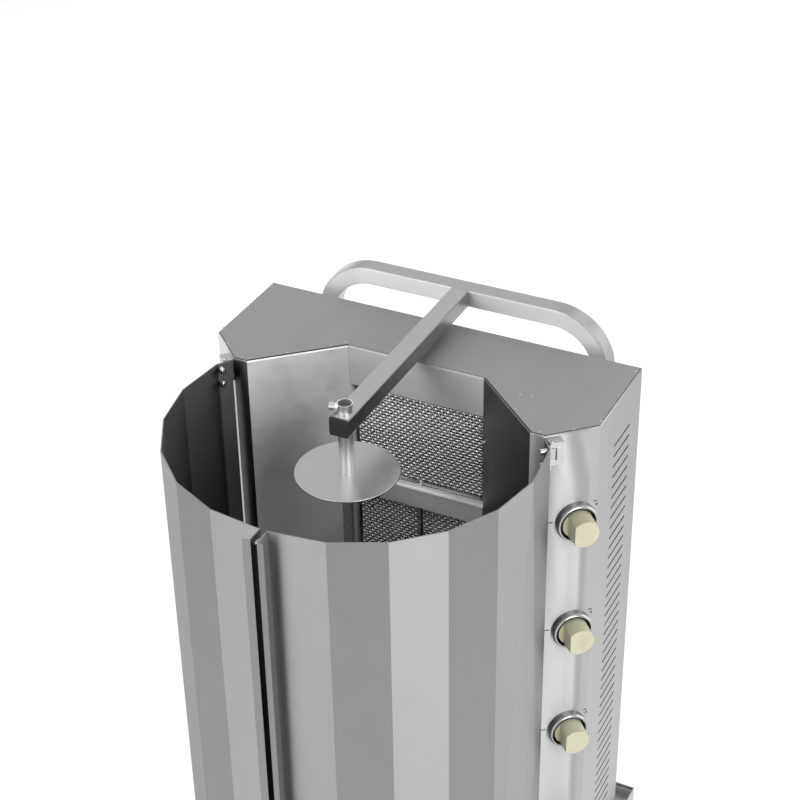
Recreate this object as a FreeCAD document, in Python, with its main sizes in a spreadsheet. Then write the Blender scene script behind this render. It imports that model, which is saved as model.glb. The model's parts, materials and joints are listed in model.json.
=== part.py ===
import FreeCAD, Part
import math
import os

import Sketcher
from FreeCAD import Placement, Rotation, Vector

# Gas kebab grill with a turning spit: four rows of burners in an upright housing, two curved doors
# Origin on the floor under the middle of the base, X to the right, Y to the back, Z up

ROWS = 4
BURNERS_PER_ROW = 2
DOOR_FACETS = 6

# Driving dimensions in millimetres and degrees
DIMENSIONS = [
    ("spit_y", -60.0, "spit axis behind the origin"),
    ("base_width", 640.0, "base box across"),
    ("base_front", 320.0, "base front edge before the origin"),
    ("base_back", 306.0, "base back edge behind the origin"),
    ("base_top", 115.0, "top of the base box"),
    ("base_sheet", 1.5, "sheet of the base box"),
    ("foot_height", 25.0, "height of a foot"),
    ("foot_radius", 20.0, "radius of a foot"),
    ("foot_inset", 50.0, "foot centre from the base edges"),
    ("tray_sheet", 2.0, "sheet of the drip tray"),
    ("tray_rim", 20.0, "upstand of the drip tray above the base"),
    ("sump_width", 400.0, "sump across"),
    ("sump_front", 210.0, "sump front edge before the spit"),
    ("sump_back", 90.0, "sump back edge behind the spit"),
    ("sump_depth", 10.0, "sump below the tray floor"),
    ("drain_offset", 150.0, "drain before the spit"),
    ("drain_radius", 10.0, "drain bore"),
    ("drain_spout", 8.0, "drain spout below the sump"),
    ("collar_height", 20.0, "shaft collar above the sump floor"),
    ("collar_wall", 6.0, "wall of the shaft collar"),
    ("housing_height", 850.0, "tray floor to the top cover"),
    ("panel_sheet", 1.5, "sheet of the housing"),
    ("cover_sheet", 1.2, "sheet of the top cover"),
    ("cover_inset", 2.5, "top cover inside the outline"),
    ("top_flange", 12.0, "flange folded in under the cover"),
    ("top_bend", 2.5, "outer radius of the folded top edge"),
    ("seam_gap", 0.4, "gap at a seam between panels"),
    ("header_width", 215.0, "front of the burner column across"),
    ("header_to_spit", 213.0, "burner column face behind the spit"),
    ("wing_width", 149.2, "slanted wing panel"),
    ("wing_angle", 41.7, "wing panel against the front"),
    ("wing_return", 60.0, "fold of the wing beside the burners"),
    ("return_width", 22.3, "narrow front strip beside the wing"),
    ("control_width", 79.7, "slanted control face"),
    ("control_angle", 43.5, "control face against the front"),
    ("side_depth", 163.3, "side panel front to back"),
    ("sill_rise", 21.0, "housing left under the last burner row"),
    ("opening_top", 65.0, "first burner opening below the cover"),
    ("shelf_height", 31.0, "strip between two burner openings"),
    ("ledge_depth", 6.0, "lower ledge of a shelf"),
    ("ledge_rise", 4.0, "step of a shelf behind its ledge"),
    ("shelf_depth", 66.0, "shelf behind its step"),
    ("shelf_foot", 16.0, "lower fold of a shelf"),
    ("burner_width", 98.0, "one burner across"),
    ("burner_gap", 7.0, "between the burners of a row"),
    ("burner_depth", 55.0, "burner box front to back"),
    ("burner_recess", 17.0, "burner behind the column face"),
    ("burner_headroom", 2.0, "gap above a burner"),
    ("lip_depth", 8.0, "burner lip before the box"),
    ("lip_height", 4.0, "height of the burner lip"),
    ("tile_width", 92.0, "ceramic tile across"),
    ("tile_border", 11.0, "burner front above and below a tile"),
    ("tile_thickness", 13.0, "ceramic tile thickness"),
    ("tile_setback", 2.0, "tile behind the burner front"),
    ("tile_clearance", 0.3, "tile to its seat all round"),
    ("tile_ledge", 3.0, "ledge behind the tile"),
    ("mesh_thickness", 1.6, "mesh guard thickness"),
    ("mesh_border", 3.0, "border of a mesh guard"),
    ("mesh_bar", 2.6, "bar between two mesh gaps"),
    ("mixer_radius", 15.0, "gas mixing tube outside"),
    ("mixer_wall", 2.0, "wall of the mixing tube"),
    ("mixer_reach", 118.0, "mixing tube mouth from the middle"),
    ("vent_width", 62.0, "side vent slot length"),
    ("vent_height", 3.2, "side vent slot height"),
    ("vent_pitch", 17.8, "side vent slots apart"),
    ("vent_back", 41.0, "vent slots from the back edge"),
    ("vent_top", 71.0, "first vent slot below the cover"),
    ("tube_size", 28.0, "square frame tube"),
    ("tube_wall", 2.0, "wall of the frame tube"),
    ("tube_corner", 3.0, "corner radius of the frame tube"),
    ("tube_bend", 76.0, "frame bend at the tube middle"),
    ("frame_width", 448.0, "frame legs apart at their middles"),
    ("frame_rise", 40.0, "frame top above the cover"),
    ("leg_bottom", 40.0, "lower end of the frame legs"),
    ("arm_end", 17.0, "arm end before the spit"),
    ("guide_wall", 2.0, "wall of the guide tube in the arm"),
    ("cap_flange", 3.0, "arm plug outside the tube"),
    ("sleeve_radius", 10.65, "spit sleeve outside"),
    ("sleeve_wall", 1.0, "wall of the spit sleeve"),
    ("sleeve_clearance", 0.3, "sleeve in the arm"),
    ("sleeve_above", 14.0, "sleeve above the arm"),
    ("disc_radius", 72.5, "upper disc"),
    ("disc_sheet", 3.0, "sheet of the upper disc"),
    ("disc_drop", 58.0, "upper disc underside below the cover"),
    ("screw_boss", 14.0, "thumb screw boss end from the axis"),
    ("screw_play", 0.1, "thumb screw in its boss"),
    ("screw_gap", 0.3, "thumb screw head off the boss"),
    ("screw_boss_radius", 5.0, "thumb screw boss"),
    ("screw_radius", 2.0, "thumb screw shank"),
    ("screw_head", 6.0, "thumb screw head radius"),
    ("screw_head_length", 7.0, "thumb screw head length"),
    ("screw_drop", 7.0, "thumb screw below the sleeve top"),
    ("skewer_size", 13.0, "square skewer"),
    ("skewer_angle", 15.0, "skewer turned about its axis"),
    ("skewer_below", 6.0, "skewer top below the cover"),
    ("skewer_clearance", 0.2, "skewer in its socket"),
    ("disc_clearance", 0.5, "skewer in the upper disc"),
    ("shaft_radius", 7.0, "drive shaft"),
    ("shaft_clearance", 0.05, "drive shaft in its bush"),
    ("bush_wall", 3.0, "wall of the drive bush"),
    ("cup_radius", 20.0, "coupling cup"),
    ("cup_height", 24.0, "coupling cup height"),
    ("cup_floor", 6.0, "floor of the coupling cup"),
    ("cup_gap", 1.0, "coupling cup above the collar"),
    ("plate_radius", 140.0, "meat plate"),
    ("plate_sheet", 2.5, "sheet of the meat plate"),
    ("plate_rim", 8.0, "rim of the meat plate"),
    ("door_sheet", 1.5, "sheet of the doors"),
    ("door_drop", 4.0, "door rim below the cover"),
    ("door_bottom", 152.0, "door lower edge above the floor"),
    ("door_gap_side", 1.6, "door edge outside the housing corner"),
    ("door_gap_front", 2.4, "door edge before the housing corner"),
    ("door_flange", 24.0, "rear flange of a door"),
    ("door_flange_angle", 52.0, "rear flange against the front"),
    ("door_facet", 78.0, "one facet of a door"),
    ("door_heading", 84.0, "first facet against the front"),
    ("door_bend", 17.75, "bend between two facets"),
    ("door_grip", 23.0, "front flange of a door"),
    ("door_lip", 9.5, "lip on the front flange"),
    ("door_lip_angle", 20.0, "lip against the front"),
    ("hinge_along", 6.0, "hinge pin along the control face"),
    ("hinge_out", 11.0, "hinge pin before the control face"),
    ("hinge_height", 35.0, "height of a hinge bracket"),
    ("hinge_end", 22.0, "far end of the bracket on the face"),
    ("hinge_cheek", 4.0, "bracket round the hinge pin"),
    ("hinge_plate", 3.0, "plate of a hinge bracket"),
    ("hinge_lug", 7.5, "lug of a hinge bracket"),
    ("hinge_drop", 22.0, "upper hinge below the cover"),
    ("hinge_low", 200.0, "lower hinge above the floor"),
    ("hinge_play", 0.3, "strap between the lugs"),
    ("pin_radius", 3.0, "hinge pin"),
    ("pin_play", 0.1, "hinge pin in the strap"),
    ("pin_head", 1.0, "hinge pin beyond its lugs"),
    ("knuckle_radius", 5.2, "strap knuckle"),
    ("strap_sheet", 2.0, "leaf of a hinge strap"),
    ("strap_start", 13.5, "strap leaf start on the flange"),
    ("strap_end", 22.5, "strap leaf end on the flange"),
    ("stud_radius", 2.5, "stud of a hinge strap"),
    ("stud_spread", 22.0, "studs of a hinge apart"),
    ("nut_radius", 4.6, "dome nut"),
    ("nut_height", 11.0, "dome nut height"),
    ("bumper_drop", 11.0, "door bumper below the rim"),
    ("bumper_radius", 4.0, "door bumper"),
    ("bumper_height", 4.0, "door bumper height"),
    ("knob_along", 48.5, "knob on the control face"),
    ("knob_drop", 150.0, "first knob below the cover"),
    ("bezel_radius", 30.5, "knob bezel at the face"),
    ("bezel_front", 26.8, "knob bezel at its rim"),
    ("bezel_height", 12.0, "knob bezel height"),
    ("bezel_bore", 25.0, "knob bezel hollow"),
    ("bezel_floor", 1.5, "floor of the knob bezel"),
    ("stem_hole", 6.0, "hole for a valve stem"),
    ("stem_radius", 4.0, "valve stem"),
    ("stem_play", 0.1, "valve stem in its bores"),
    ("stem_reach", 30.0, "valve stem before the face"),
    ("stem_depth", 39.0, "valve stem behind the face"),
    ("stem_room", 0.5, "free depth past the end of a valve stem"),
    ("knob_stand", 6.0, "knob back before the face"),
    ("knob_radius", 22.5, "knob at its back"),
    ("knob_front", 21.0, "knob at its front"),
    ("knob_length", 32.0, "knob front to back"),
    ("knob_flat", 15.0, "flat of the knob from its middle"),
    ("knob_skirt", 5.0, "round skirt of the knob"),
    ("knob_push", 3.5, "push travel of the knob"),
    ("knob_edge", 1.5, "rounded front edge of the knob"),
    ("bezel_round", 4.0, "rounded shoulder of the bezel"),
    ("valve_size", 26.0, "valve body across"),
    ("valve_length", 40.0, "valve body length"),
    ("manifold_radius", 8.0, "gas manifold pipe"),
    ("manifold_boss", 16.0, "manifold boss across"),
    ("manifold_stand", 14.5, "manifold behind the valves"),
    ("manifold_bend", 12.0, "bend of the manifold pipe"),
    ("manifold_low", 80.0, "gas inlet above the floor"),
    ("inlet_inset", 41.0, "gas inlet outside the middle of the frame leg"),
    ("inlet_radius", 10.5, "gas inlet nipple"),
    ("inlet_neck", 9.5, "gas inlet through the base"),
    ("inlet_reach", 39.0, "gas inlet behind the base"),
    ("inlet_flange", 15.0, "gas inlet flange radius"),
    ("pipe_radius", 4.0, "burner feed pipe"),
    ("pipe_bend", 14.0, "bend of a feed pipe"),
    ("pipe_rise", 20.0, "feed pipe above its valve"),
    ("igniter_edge", 6.5, "igniter from the wing edge"),
    ("igniter_drop", 39.0, "igniter below an opening top"),
    ("igniter_radius", 2.2, "igniter ceramic"),
    ("igniter_reach", 5.0, "igniter before the wing"),
    ("igniter_root", 9.0, "igniter behind the wing"),
    ("drawer_width", 300.0, "grease drawer across"),
    ("drawer_depth", 203.0, "grease drawer front to back"),
    ("drawer_height", 55.0, "grease drawer height"),
    ("drawer_sheet", 1.2, "sheet of the grease drawer"),
    ("drawer_play", 0.5, "drawer to its runners"),
    ("drawer_lift", 0.3, "drawer above its runners"),
    ("drawer_overlap", 9.0, "drawer front past its opening"),
    ("drawer_front", 2.0, "sheet of the drawer front"),
    ("runner_ledge", 12.0, "runner under the drawer"),
    ("runner_sheet", 1.5, "sheet of the runners"),
    ("runner_height", 40.0, "runner ledge above the floor"),
    ("runner_guide", 26.0, "runner beside the drawer"),
    ("handle_width", 120.0, "drawer handle across"),
    ("handle_reach", 23.0, "drawer handle before the front"),
    ("handle_bar", 8.0, "drawer handle bar"),
    ("switch_inset", 90.0, "switch from the end of the base"),
    ("switch_z", 70.0, "switch above the floor"),
    ("switch_width", 28.0, "switch cut-out across"),
    ("switch_height", 22.0, "switch cut-out height"),
    ("switch_depth", 24.0, "switch body behind the front"),
    ("switch_frame", 3.0, "switch frame round the cut-out"),
    ("switch_wall", 2.0, "wall of the switch body"),
    ("rocker_play", 0.5, "rocker in the switch"),
    ("rocker_radius", 9.0, "rocker barrel"),
    ("rocker_inset", 7.2, "rocker axis behind the base front"),
    ("rocker_jut", 3.0, "rocker corners past its barrel"),
    ("rocker_half", 5.5, "rocker corners above and below its axis"),
    ("gland_inset", 41.0, "cable gland outside the middle of the frame leg"),
    ("gland_radius", 8.0, "cable gland"),
    ("gland_nut", 11.2, "nut of the cable gland"),
    ("gland_reach", 18.0, "cable gland behind the base"),
    ("gearbox_width", 100.0, "gearbox across"),
    ("gearbox_depth", 80.0, "gearbox front to back"),
    ("gearbox_top", 95.0, "gearbox top above the floor"),
    ("gearbox_height", 40.0, "gearbox height"),
    ("gear_foot_width", 70.0, "gearbox foot across"),
    ("gear_foot_depth", 56.0, "gearbox foot front to back"),
    ("motor_radius", 27.0, "motor can"),
    ("motor_length", 90.0, "motor can length"),
    ("boss_radius", 18.0, "gearbox boss"),
    ("boss_height", 6.0, "gearbox boss height"),
    ("shaft_seat", 12.0, "shaft inside the gearbox"),
]

doc = FreeCAD.newDocument("gas_kebab_grill")
sheet = doc.addObject("Spreadsheet::Sheet", "Dimensions")


class Size:
    """A size that knows its value and the sheet formula that gives it."""

    def __init__(self, value, formula):
        self.value = value
        self.formula = formula

    def __add__(self, other):
        other = as_size(other)
        return Size(self.value + other.value, f"({self.formula} + {other.formula})")

    def __sub__(self, other):
        other = as_size(other)
        return Size(self.value - other.value, f"({self.formula} - {other.formula})")

    def __mul__(self, other):
        other = as_size(other)
        return Size(self.value * other.value, f"({self.formula} * {other.formula})")

    def __truediv__(self, other):
        other = as_size(other)
        return Size(self.value / other.value, f"({self.formula} / {other.formula})")

    def __neg__(self):
        return Size(-self.value, f"(0 - {self.formula})")

    __radd__ = __add__
    __rmul__ = __mul__


def as_size(value):
    """Takes a plain number as a size."""
    if isinstance(value, Size):
        return value
    return Size(float(value), repr(float(value)))


def sine(angle):
    """Sine of an angle in degrees."""
    return Size(math.sin(math.radians(angle.value)), f"sin({angle.formula})")


def cosine(angle):
    """Cosine of an angle in degrees."""
    return Size(math.cos(math.radians(angle.value)), f"cos({angle.formula})")


class Sheet:
    """The named sizes of the spreadsheet."""


D = Sheet()
for line, (alias, value, meaning) in enumerate(DIMENSIONS, start=1):
    sheet.set(f"A{line}", meaning)
    sheet.set(f"B{line}", repr(value))
    sheet.setAlias(f"B{line}", alias)
    setattr(D, alias, Size(value, f"Dimensions.{alias}"))
doc.recompute()

ZERO = as_size(0)
ROUND_STEPS = 3
PARTS = []


def keep(part, label):
    """Lists an object as a sub-part under its node name."""
    part.Label = label
    PARTS.append(part)
    return part


def new_body(label):
    """Starts a body for one sub-part."""
    return keep(doc.addObject("PartDesign::Body", label), label)


def sketch_on(body, plane, base=(ZERO, ZERO, ZERO), turn=None, lift=ZERO):
    """Adds a sketch on an origin plane, moved to base, turned about the vertical and lifted off."""
    sketch = body.newObject("Sketcher::SketchObject", "Sketch")
    support = [f for f in body.Origin.OriginFeatures if f.Role == plane][0]
    sketch.AttachmentSupport = [(support, "")]
    sketch.MapMode = "FlatFace"
    x, y, z = [as_size(value) for value in base]
    local = {
        "XY_Plane": (x, y, z + lift),
        "XZ_Plane": (x, z, lift - y),
        "YZ_Plane": (y, z, x + lift),
    }[plane]
    axis = Vector(0, 0, 1) if plane == "XY_Plane" else Vector(0, 1, 0)
    if turn is not None and plane != "XY_Plane":
        # the plane turns about the vertical through base, so the lift follows the turned normal
        flat = {"XZ_Plane": (x, z, -y), "YZ_Plane": (y, z, x)}[plane]
        local = (flat[0] + lift * sine(turn), flat[1], flat[2] + lift * cosine(turn))
    angle = turn.value if turn is not None else 0.0
    start = Vector(*[value.value for value in local])
    sketch.AttachmentOffset = Placement(start, Rotation(axis, angle))
    for name, value in zip("xyz", local):
        sketch.setExpression(f"AttachmentOffset.Base.{name}", value.formula)
    if turn is not None:
        sketch.setExpression("AttachmentOffset.Rotation.Angle", turn.formula)
    return sketch


def constrain(sketch, kind, *where, size=None):
    """Adds a constraint, bound to the sheet when it has a size."""
    if size is None:
        return sketch.addConstraint(Sketcher.Constraint(kind, *where))
    value = math.radians(size.value) if kind == "Angle" else size.value
    index = sketch.addConstraint(Sketcher.Constraint(kind, *where, value))
    sketch.setExpression(f"Constraints[{index}]", size.formula)
    return index


def polygon(sketch, points):
    """Draws a closed outline whose corners are bound to the sheet."""
    points = [(as_size(x), as_size(y)) for x, y in points]
    first = sketch.GeometryCount
    count = len(points)
    for index in range(count):
        x0, y0 = points[index]
        x1, y1 = points[(index + 1) % count]
        edge = Part.LineSegment(Vector(x0.value, y0.value, 0), Vector(x1.value, y1.value, 0))
        sketch.addGeometry(edge, False)
    for index in range(count):
        following = first + (index + 1) % count
        constrain(sketch, "Coincident", first + index, 2, following, 1)
    for index, (x, y) in enumerate(points):
        constrain(sketch, "DistanceX", -1, 1, first + index, 1, size=x)
        constrain(sketch, "DistanceY", -1, 1, first + index, 1, size=y)


def rectangle(sketch, x0, y0, x1, y1):
    """Draws a rectangle between two corners."""
    polygon(sketch, [(x0, y0), (x1, y0), (x1, y1), (x0, y1)])


def turned_square(sketch, x, y, half, angle):
    """Draws a square of the given half width, turned about its middle."""
    points = []
    for along, across in ((-1, -1), (1, -1), (1, 1), (-1, 1)):
        corner_x = x + half * (cosine(angle) * along - sine(angle) * across)
        corner_y = y + half * (sine(angle) * along + cosine(angle) * across)
        points.append((corner_x, corner_y))
    polygon(sketch, points)


def circle(sketch, x, y, radius):
    """Draws a circle bound to the sheet."""
    x, y, radius = as_size(x), as_size(y), as_size(radius)
    edge = Part.Circle(Vector(x.value, y.value, 0), Vector(0, 0, 1), radius.value)
    index = sketch.addGeometry(edge, False)
    constrain(sketch, "DistanceX", -1, 1, index, 3, size=x)
    constrain(sketch, "DistanceY", -1, 1, index, 3, size=y)
    constrain(sketch, "Radius", index, size=radius)


def rounded_square(sketch, x, y, width, radius):
    """Draws a square with rounded corners about its middle."""
    x, y = as_size(x), as_size(y)
    half, r = width.value / 2, radius.value
    cx, cy = x.value, y.value
    straight = half - r
    corners = [(1, -1), (1, 1), (-1, 1), (-1, -1)]
    ends = []
    for sx, sy in corners:
        ends.append((Vector(cx + sx * straight, cy + sy * straight, 0), sx, sy))
    first = sketch.GeometryCount
    starts = [Vector(cx - straight, cy - half, 0), Vector(cx + half, cy - straight, 0),
              Vector(cx + straight, cy + half, 0), Vector(cx - half, cy + straight, 0)]
    stops = [Vector(cx + straight, cy - half, 0), Vector(cx + half, cy + straight, 0),
             Vector(cx - straight, cy + half, 0), Vector(cx - half, cy - straight, 0)]
    for index in range(4):
        sketch.addGeometry(Part.LineSegment(starts[index], stops[index]), False)
        centre = ends[index][0]
        begin = math.radians(-90 + 90 * index)
        round_edge = Part.Circle(centre, Vector(0, 0, 1), r)
        arc = Part.ArcOfCircle(round_edge, begin, begin + math.pi / 2)
        sketch.addGeometry(arc, False)
    for index in range(4):
        line = first + 2 * index
        arc = line + 1
        following = first + (2 * index + 2) % 8
        constrain(sketch, "Tangent", line, 2, arc, 1)
        constrain(sketch, "Tangent", arc, 2, following, 1)
    for index in range(3):
        constrain(sketch, "Equal", first + 1, first + 3 + 2 * index)
    constrain(sketch, "Radius", first + 1, size=radius)
    constrain(sketch, "Horizontal", first)
    constrain(sketch, "Vertical", first + 2)
    constrain(sketch, "Horizontal", first + 4)
    constrain(sketch, "Vertical", first + 6)
    constrain(sketch, "DistanceY", -1, 1, first, 1, size=y - width / 2)
    constrain(sketch, "DistanceX", -1, 1, first + 2, 1, size=x + width / 2)
    constrain(sketch, "DistanceY", -1, 1, first + 4, 1, size=y + width / 2)
    constrain(sketch, "DistanceX", -1, 1, first + 6, 1, size=x - width / 2)


def heading(side, angle):
    """Mirrors a heading for the left side."""
    return angle if side > 0 else as_size(180) - angle


def sheet_section(sketch, start, runs, thickness, hand, start_cut=ZERO, end_cut=ZERO):
    """Draws a bent sheet in section: runs of (length, heading) with the sheet to one hand.

    The hand is 1 for the left of the heading and -1 for the right. A cut angle mitres an end.
    """
    outer = [Vector(start[0].value, start[1].value, 0)]
    for length, angle in runs:
        way = math.radians(angle.value)
        outer.append(outer[-1] + Vector(math.cos(way), math.sin(way), 0) * length.value)
    count = len(runs)
    first_cap = runs[0][1] + (as_size(90) - start_cut) * hand
    last_cap = runs[-1][1] + (as_size(90) + end_cut) * hand
    inner = []
    for index in range(count + 1):
        if index == 0:
            way, reach = first_cap.value, thickness.value / math.cos(math.radians(start_cut.value))
        elif index == count:
            way, reach = last_cap.value, thickness.value / math.cos(math.radians(end_cut.value))
        else:
            before, after = runs[index - 1][1].value, runs[index][1].value
            way = (before + after) / 2 + 90 * hand
            reach = thickness.value / math.cos(math.radians((after - before) / 2))
        way = math.radians(way)
        inner.append(outer[index] + Vector(math.cos(way), math.sin(way), 0) * reach)
    ring = outer + inner[::-1]
    first = sketch.GeometryCount
    size = len(ring)
    for index in range(size):
        sketch.addGeometry(Part.LineSegment(ring[index], ring[(index + 1) % size]), False)
    for index in range(size):
        constrain(sketch, "Coincident", first + index, 2, first + (index + 1) % size, 1)
    constrain(sketch, "DistanceX", -1, 1, first, 1, size=start[0])
    constrain(sketch, "DistanceY", -1, 1, first, 1, size=start[1])
    for index, (length, angle) in enumerate(runs):
        facing = first + 2 * count - index
        constrain(sketch, "Distance", first + index, size=length)
        constrain(sketch, "Angle", first + index, size=angle)
        constrain(sketch, "Parallel", first + index, facing)
        constrain(sketch, "Distance", facing, 1, first + index, size=thickness)
    constrain(sketch, "Angle", first + count, size=last_cap)
    constrain(sketch, "Angle", first + 2 * count + 1, size=first_cap + 180)


def chain_point(start, runs):
    """The end of a chain of runs."""
    x, y = start
    for length, angle in runs:
        x = x + length * cosine(angle)
        y = y + length * sine(angle)
    return x, y


def pad(body, sketch, length, reverse=False, middle=False, taper=None):
    """Pads a sketch along its normal."""
    feature = body.newObject("PartDesign::Pad", "Pad")
    feature.Profile = sketch
    length = as_size(length)
    feature.Length = length.value
    feature.setExpression("Length", length.formula)
    feature.Reversed = reverse
    if middle:
        feature.Midplane = True
    if taper is not None:
        feature.TaperAngle = taper.value
        feature.setExpression("TaperAngle", taper.formula)
    return feature


def pocket(body, sketch, depth, reverse=False, middle=False):
    """Pockets a sketch against its normal, or along it when reversed."""
    feature = body.newObject("PartDesign::Pocket", "Pocket")
    feature.Profile = sketch
    depth = as_size(depth)
    feature.Length = depth.value
    feature.setExpression("Length", depth.formula)
    feature.Reversed = reverse
    if middle:
        feature.Midplane = True
    return feature


def revolve(body, sketch, axis="V_Axis", angle=360.0, reverse=False):
    """Revolves a sketch about an axis of its own."""
    feature = body.newObject("PartDesign::Revolution", "Revolution")
    feature.Profile = sketch
    feature.ReferenceAxis = (sketch, [axis])
    feature.Angle = angle
    feature.Reversed = reverse
    return feature


def fillet(body, base, test, radius):
    """Rounds the edges of a feature that pass a test."""
    doc.recompute()
    names = []
    for index, edge in enumerate(base.Shape.Edges, start=1):
        if test(edge):
            names.append(f"Edge{index}")
    feature = body.newObject("PartDesign::Fillet", "Fillet")
    feature.Base = (base, names)
    feature.Radius = radius.value
    feature.setExpression("Radius", radius.formula)
    return feature


def near(value, target):
    """True where two lengths agree."""
    return abs(value - target) < 0.01


def arc_points(x, y, radius, start, end):
    """Corners along a rounded edge about (x, y), from one angle to another."""
    points = []
    for step in range(ROUND_STEPS + 1):
        angle = as_size(start + (end - start) * step / ROUND_STEPS)
        points.append((x + radius * cosine(angle), y + radius * sine(angle)))
    return points


def pipe_along(points, radius, bend):
    """A round pipe of straight runs joined by bends."""
    runs = []
    here = points[0]
    for index in range(1, len(points) - 1):
        corner = points[index]
        before = (points[index - 1] - corner).normalize()
        after = (points[index + 1] - corner).normalize()
        half = before.getAngle(after) / 2
        begin = corner + before * (bend / math.tan(half))
        centre = corner + (before + after).normalize() * (bend / math.sin(half))
        runs.append(Part.makeCylinder(radius, (begin - here).Length, here, begin - here))
        ring = Part.Face(Part.Wire([Part.Circle(begin, before, radius).toShape()]))
        runs.append(ring.revolve(centre, after.cross(before), 180 - math.degrees(half * 2)))
        here = corner + after * (bend / math.tan(half))
    runs.append(Part.makeCylinder(radius, (points[-1] - here).Length, here, points[-1] - here))
    return runs[0].fuse(runs[1:]).removeSplitter()


# Shared heights and plan points
row_pitch = (D.housing_height - D.opening_top - D.sill_rise) / ROWS
opening_height = row_pitch - D.shelf_height
burner_height = opening_height - D.ledge_rise - D.burner_headroom
tile_height = burner_height - D.tile_border * 2
frame_half = D.frame_width / 2
inlet_x = frame_half + D.inlet_inset
switch_x = D.base_width / 2 - D.switch_inset
gland_x = -(frame_half + D.gland_inset)
floor_z = D.base_top + D.tray_sheet
cover_top = floor_z + D.housing_height
panel_top = cover_top - D.cover_sheet
panel_height = panel_top - floor_z
column_y = D.spit_y + D.header_to_spit
column_half = D.header_width / 2
wing_x = column_half + D.wing_width * cosine(D.wing_angle)
front_y = column_y - D.wing_width * sine(D.wing_angle)
corner_x = wing_x + D.return_width
side_x = corner_x + D.control_width * cosine(D.control_angle)
side_y = front_y + D.control_width * sine(D.control_angle)
back_y = side_y + D.side_depth
SIDES = (("right", 1), ("left", -1))


def mirrored(side, x):
    """Mirrors a sideways place for the left side."""
    return as_size(x) * side


# Base box with its drawer opening, switch cut-out and the holes in its back
base = new_body("base_box")
outline = sketch_on(base, "XY_Plane", (0, 0, D.foot_height))
rectangle(outline, -D.base_width / 2, -D.base_front, D.base_width / 2, D.base_back)
pad(base, outline, D.base_top - D.foot_height)
hollow = sketch_on(base, "XY_Plane", (0, 0, D.base_top))
inner_half = D.base_width / 2 - D.base_sheet
rectangle(hollow, -inner_half, D.base_sheet - D.base_front, inner_half, D.base_back - D.base_sheet)
pocket(base, hollow, D.base_top - D.foot_height - D.base_sheet)
drawer_bottom = D.runner_height + D.drawer_lift
drawer_half = D.drawer_width / 2
opening_half = drawer_half + D.drawer_play
cuts = sketch_on(base, "XZ_Plane", (0, -D.base_front, 0))
rectangle(cuts, -opening_half, drawer_bottom - D.drawer_play,
          opening_half, drawer_bottom + D.drawer_height + D.drawer_play)
switch_left = switch_x - D.switch_width / 2
switch_low = D.switch_z - D.switch_height / 2
rectangle(cuts, switch_left, switch_low, switch_left + D.switch_width, switch_low + D.switch_height)
pocket(base, cuts, D.base_sheet * 2, middle=True)
holes = sketch_on(base, "XZ_Plane", (0, D.base_back, 0))
circle(holes, inlet_x, D.manifold_low, D.inlet_neck)
circle(holes, gland_x, D.manifold_low, D.gland_radius)
pocket(base, holes, D.base_sheet * 2, middle=True)

feet = new_body("feet")
foot_sketch = sketch_on(feet, "XY_Plane")
foot_x = D.base_width / 2 - D.foot_inset
for side in (-1, 1):
    circle(foot_sketch, foot_x * side, D.foot_inset - D.base_front, D.foot_radius)
    circle(foot_sketch, foot_x * side, D.base_back - D.foot_inset, D.foot_radius)
pad(feet, foot_sketch, D.foot_height)

# Drip tray with its rim, sump, shaft collar and drain
tray = new_body("drip_tray")
floor_sketch = sketch_on(tray, "XY_Plane", (0, 0, D.base_top))
rectangle(floor_sketch, -D.base_width / 2, -D.base_front, D.base_width / 2, D.base_back)
pad(tray, floor_sketch, D.tray_sheet)
rim = sketch_on(tray, "XY_Plane", (0, 0, D.base_top))
rectangle(rim, -D.base_width / 2, -D.base_front, D.base_width / 2, D.base_back)
rim_half = D.base_width / 2 - D.tray_sheet
rectangle(rim, -rim_half, D.tray_sheet - D.base_front, rim_half, D.base_back - D.tray_sheet)
pad(tray, rim, D.tray_rim)
sump_half = D.sump_width / 2
sump_y0 = D.spit_y - D.sump_front
sump_y1 = D.spit_y + D.sump_back
sump_floor = floor_z - D.sump_depth
sump_block = sketch_on(tray, "XY_Plane", (0, 0, D.base_top))
rectangle(sump_block, -sump_half - D.tray_sheet, sump_y0 - D.tray_sheet,
          sump_half + D.tray_sheet, sump_y1 + D.tray_sheet)
pad(tray, sump_block, D.sump_depth, reverse=True)
sump = sketch_on(tray, "XY_Plane", (0, 0, floor_z))
rectangle(sump, -sump_half, sump_y0, sump_half, sump_y1)
pocket(tray, sump, D.sump_depth)
bush_radius = D.shaft_radius + D.shaft_clearance + D.bush_wall
collar = sketch_on(tray, "XY_Plane", (0, 0, sump_floor))
circle(collar, 0, D.spit_y, bush_radius + D.collar_wall)
pad(tray, collar, D.collar_height)
spout = sketch_on(tray, "XY_Plane", (0, 0, sump_floor))
drain_y = D.spit_y - D.drain_offset
circle(spout, 0, drain_y, D.drain_radius + D.tray_sheet)
pad(tray, spout, D.tray_sheet + D.drain_spout, reverse=True)
bores = sketch_on(tray, "XY_Plane", (0, 0, sump_floor + D.collar_height))
circle(bores, 0, D.spit_y, bush_radius)
circle(bores, 0, drain_y, D.drain_radius)
pocket(tray, bores, D.collar_height + D.tray_sheet + D.drain_spout + D.tray_sheet)

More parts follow.
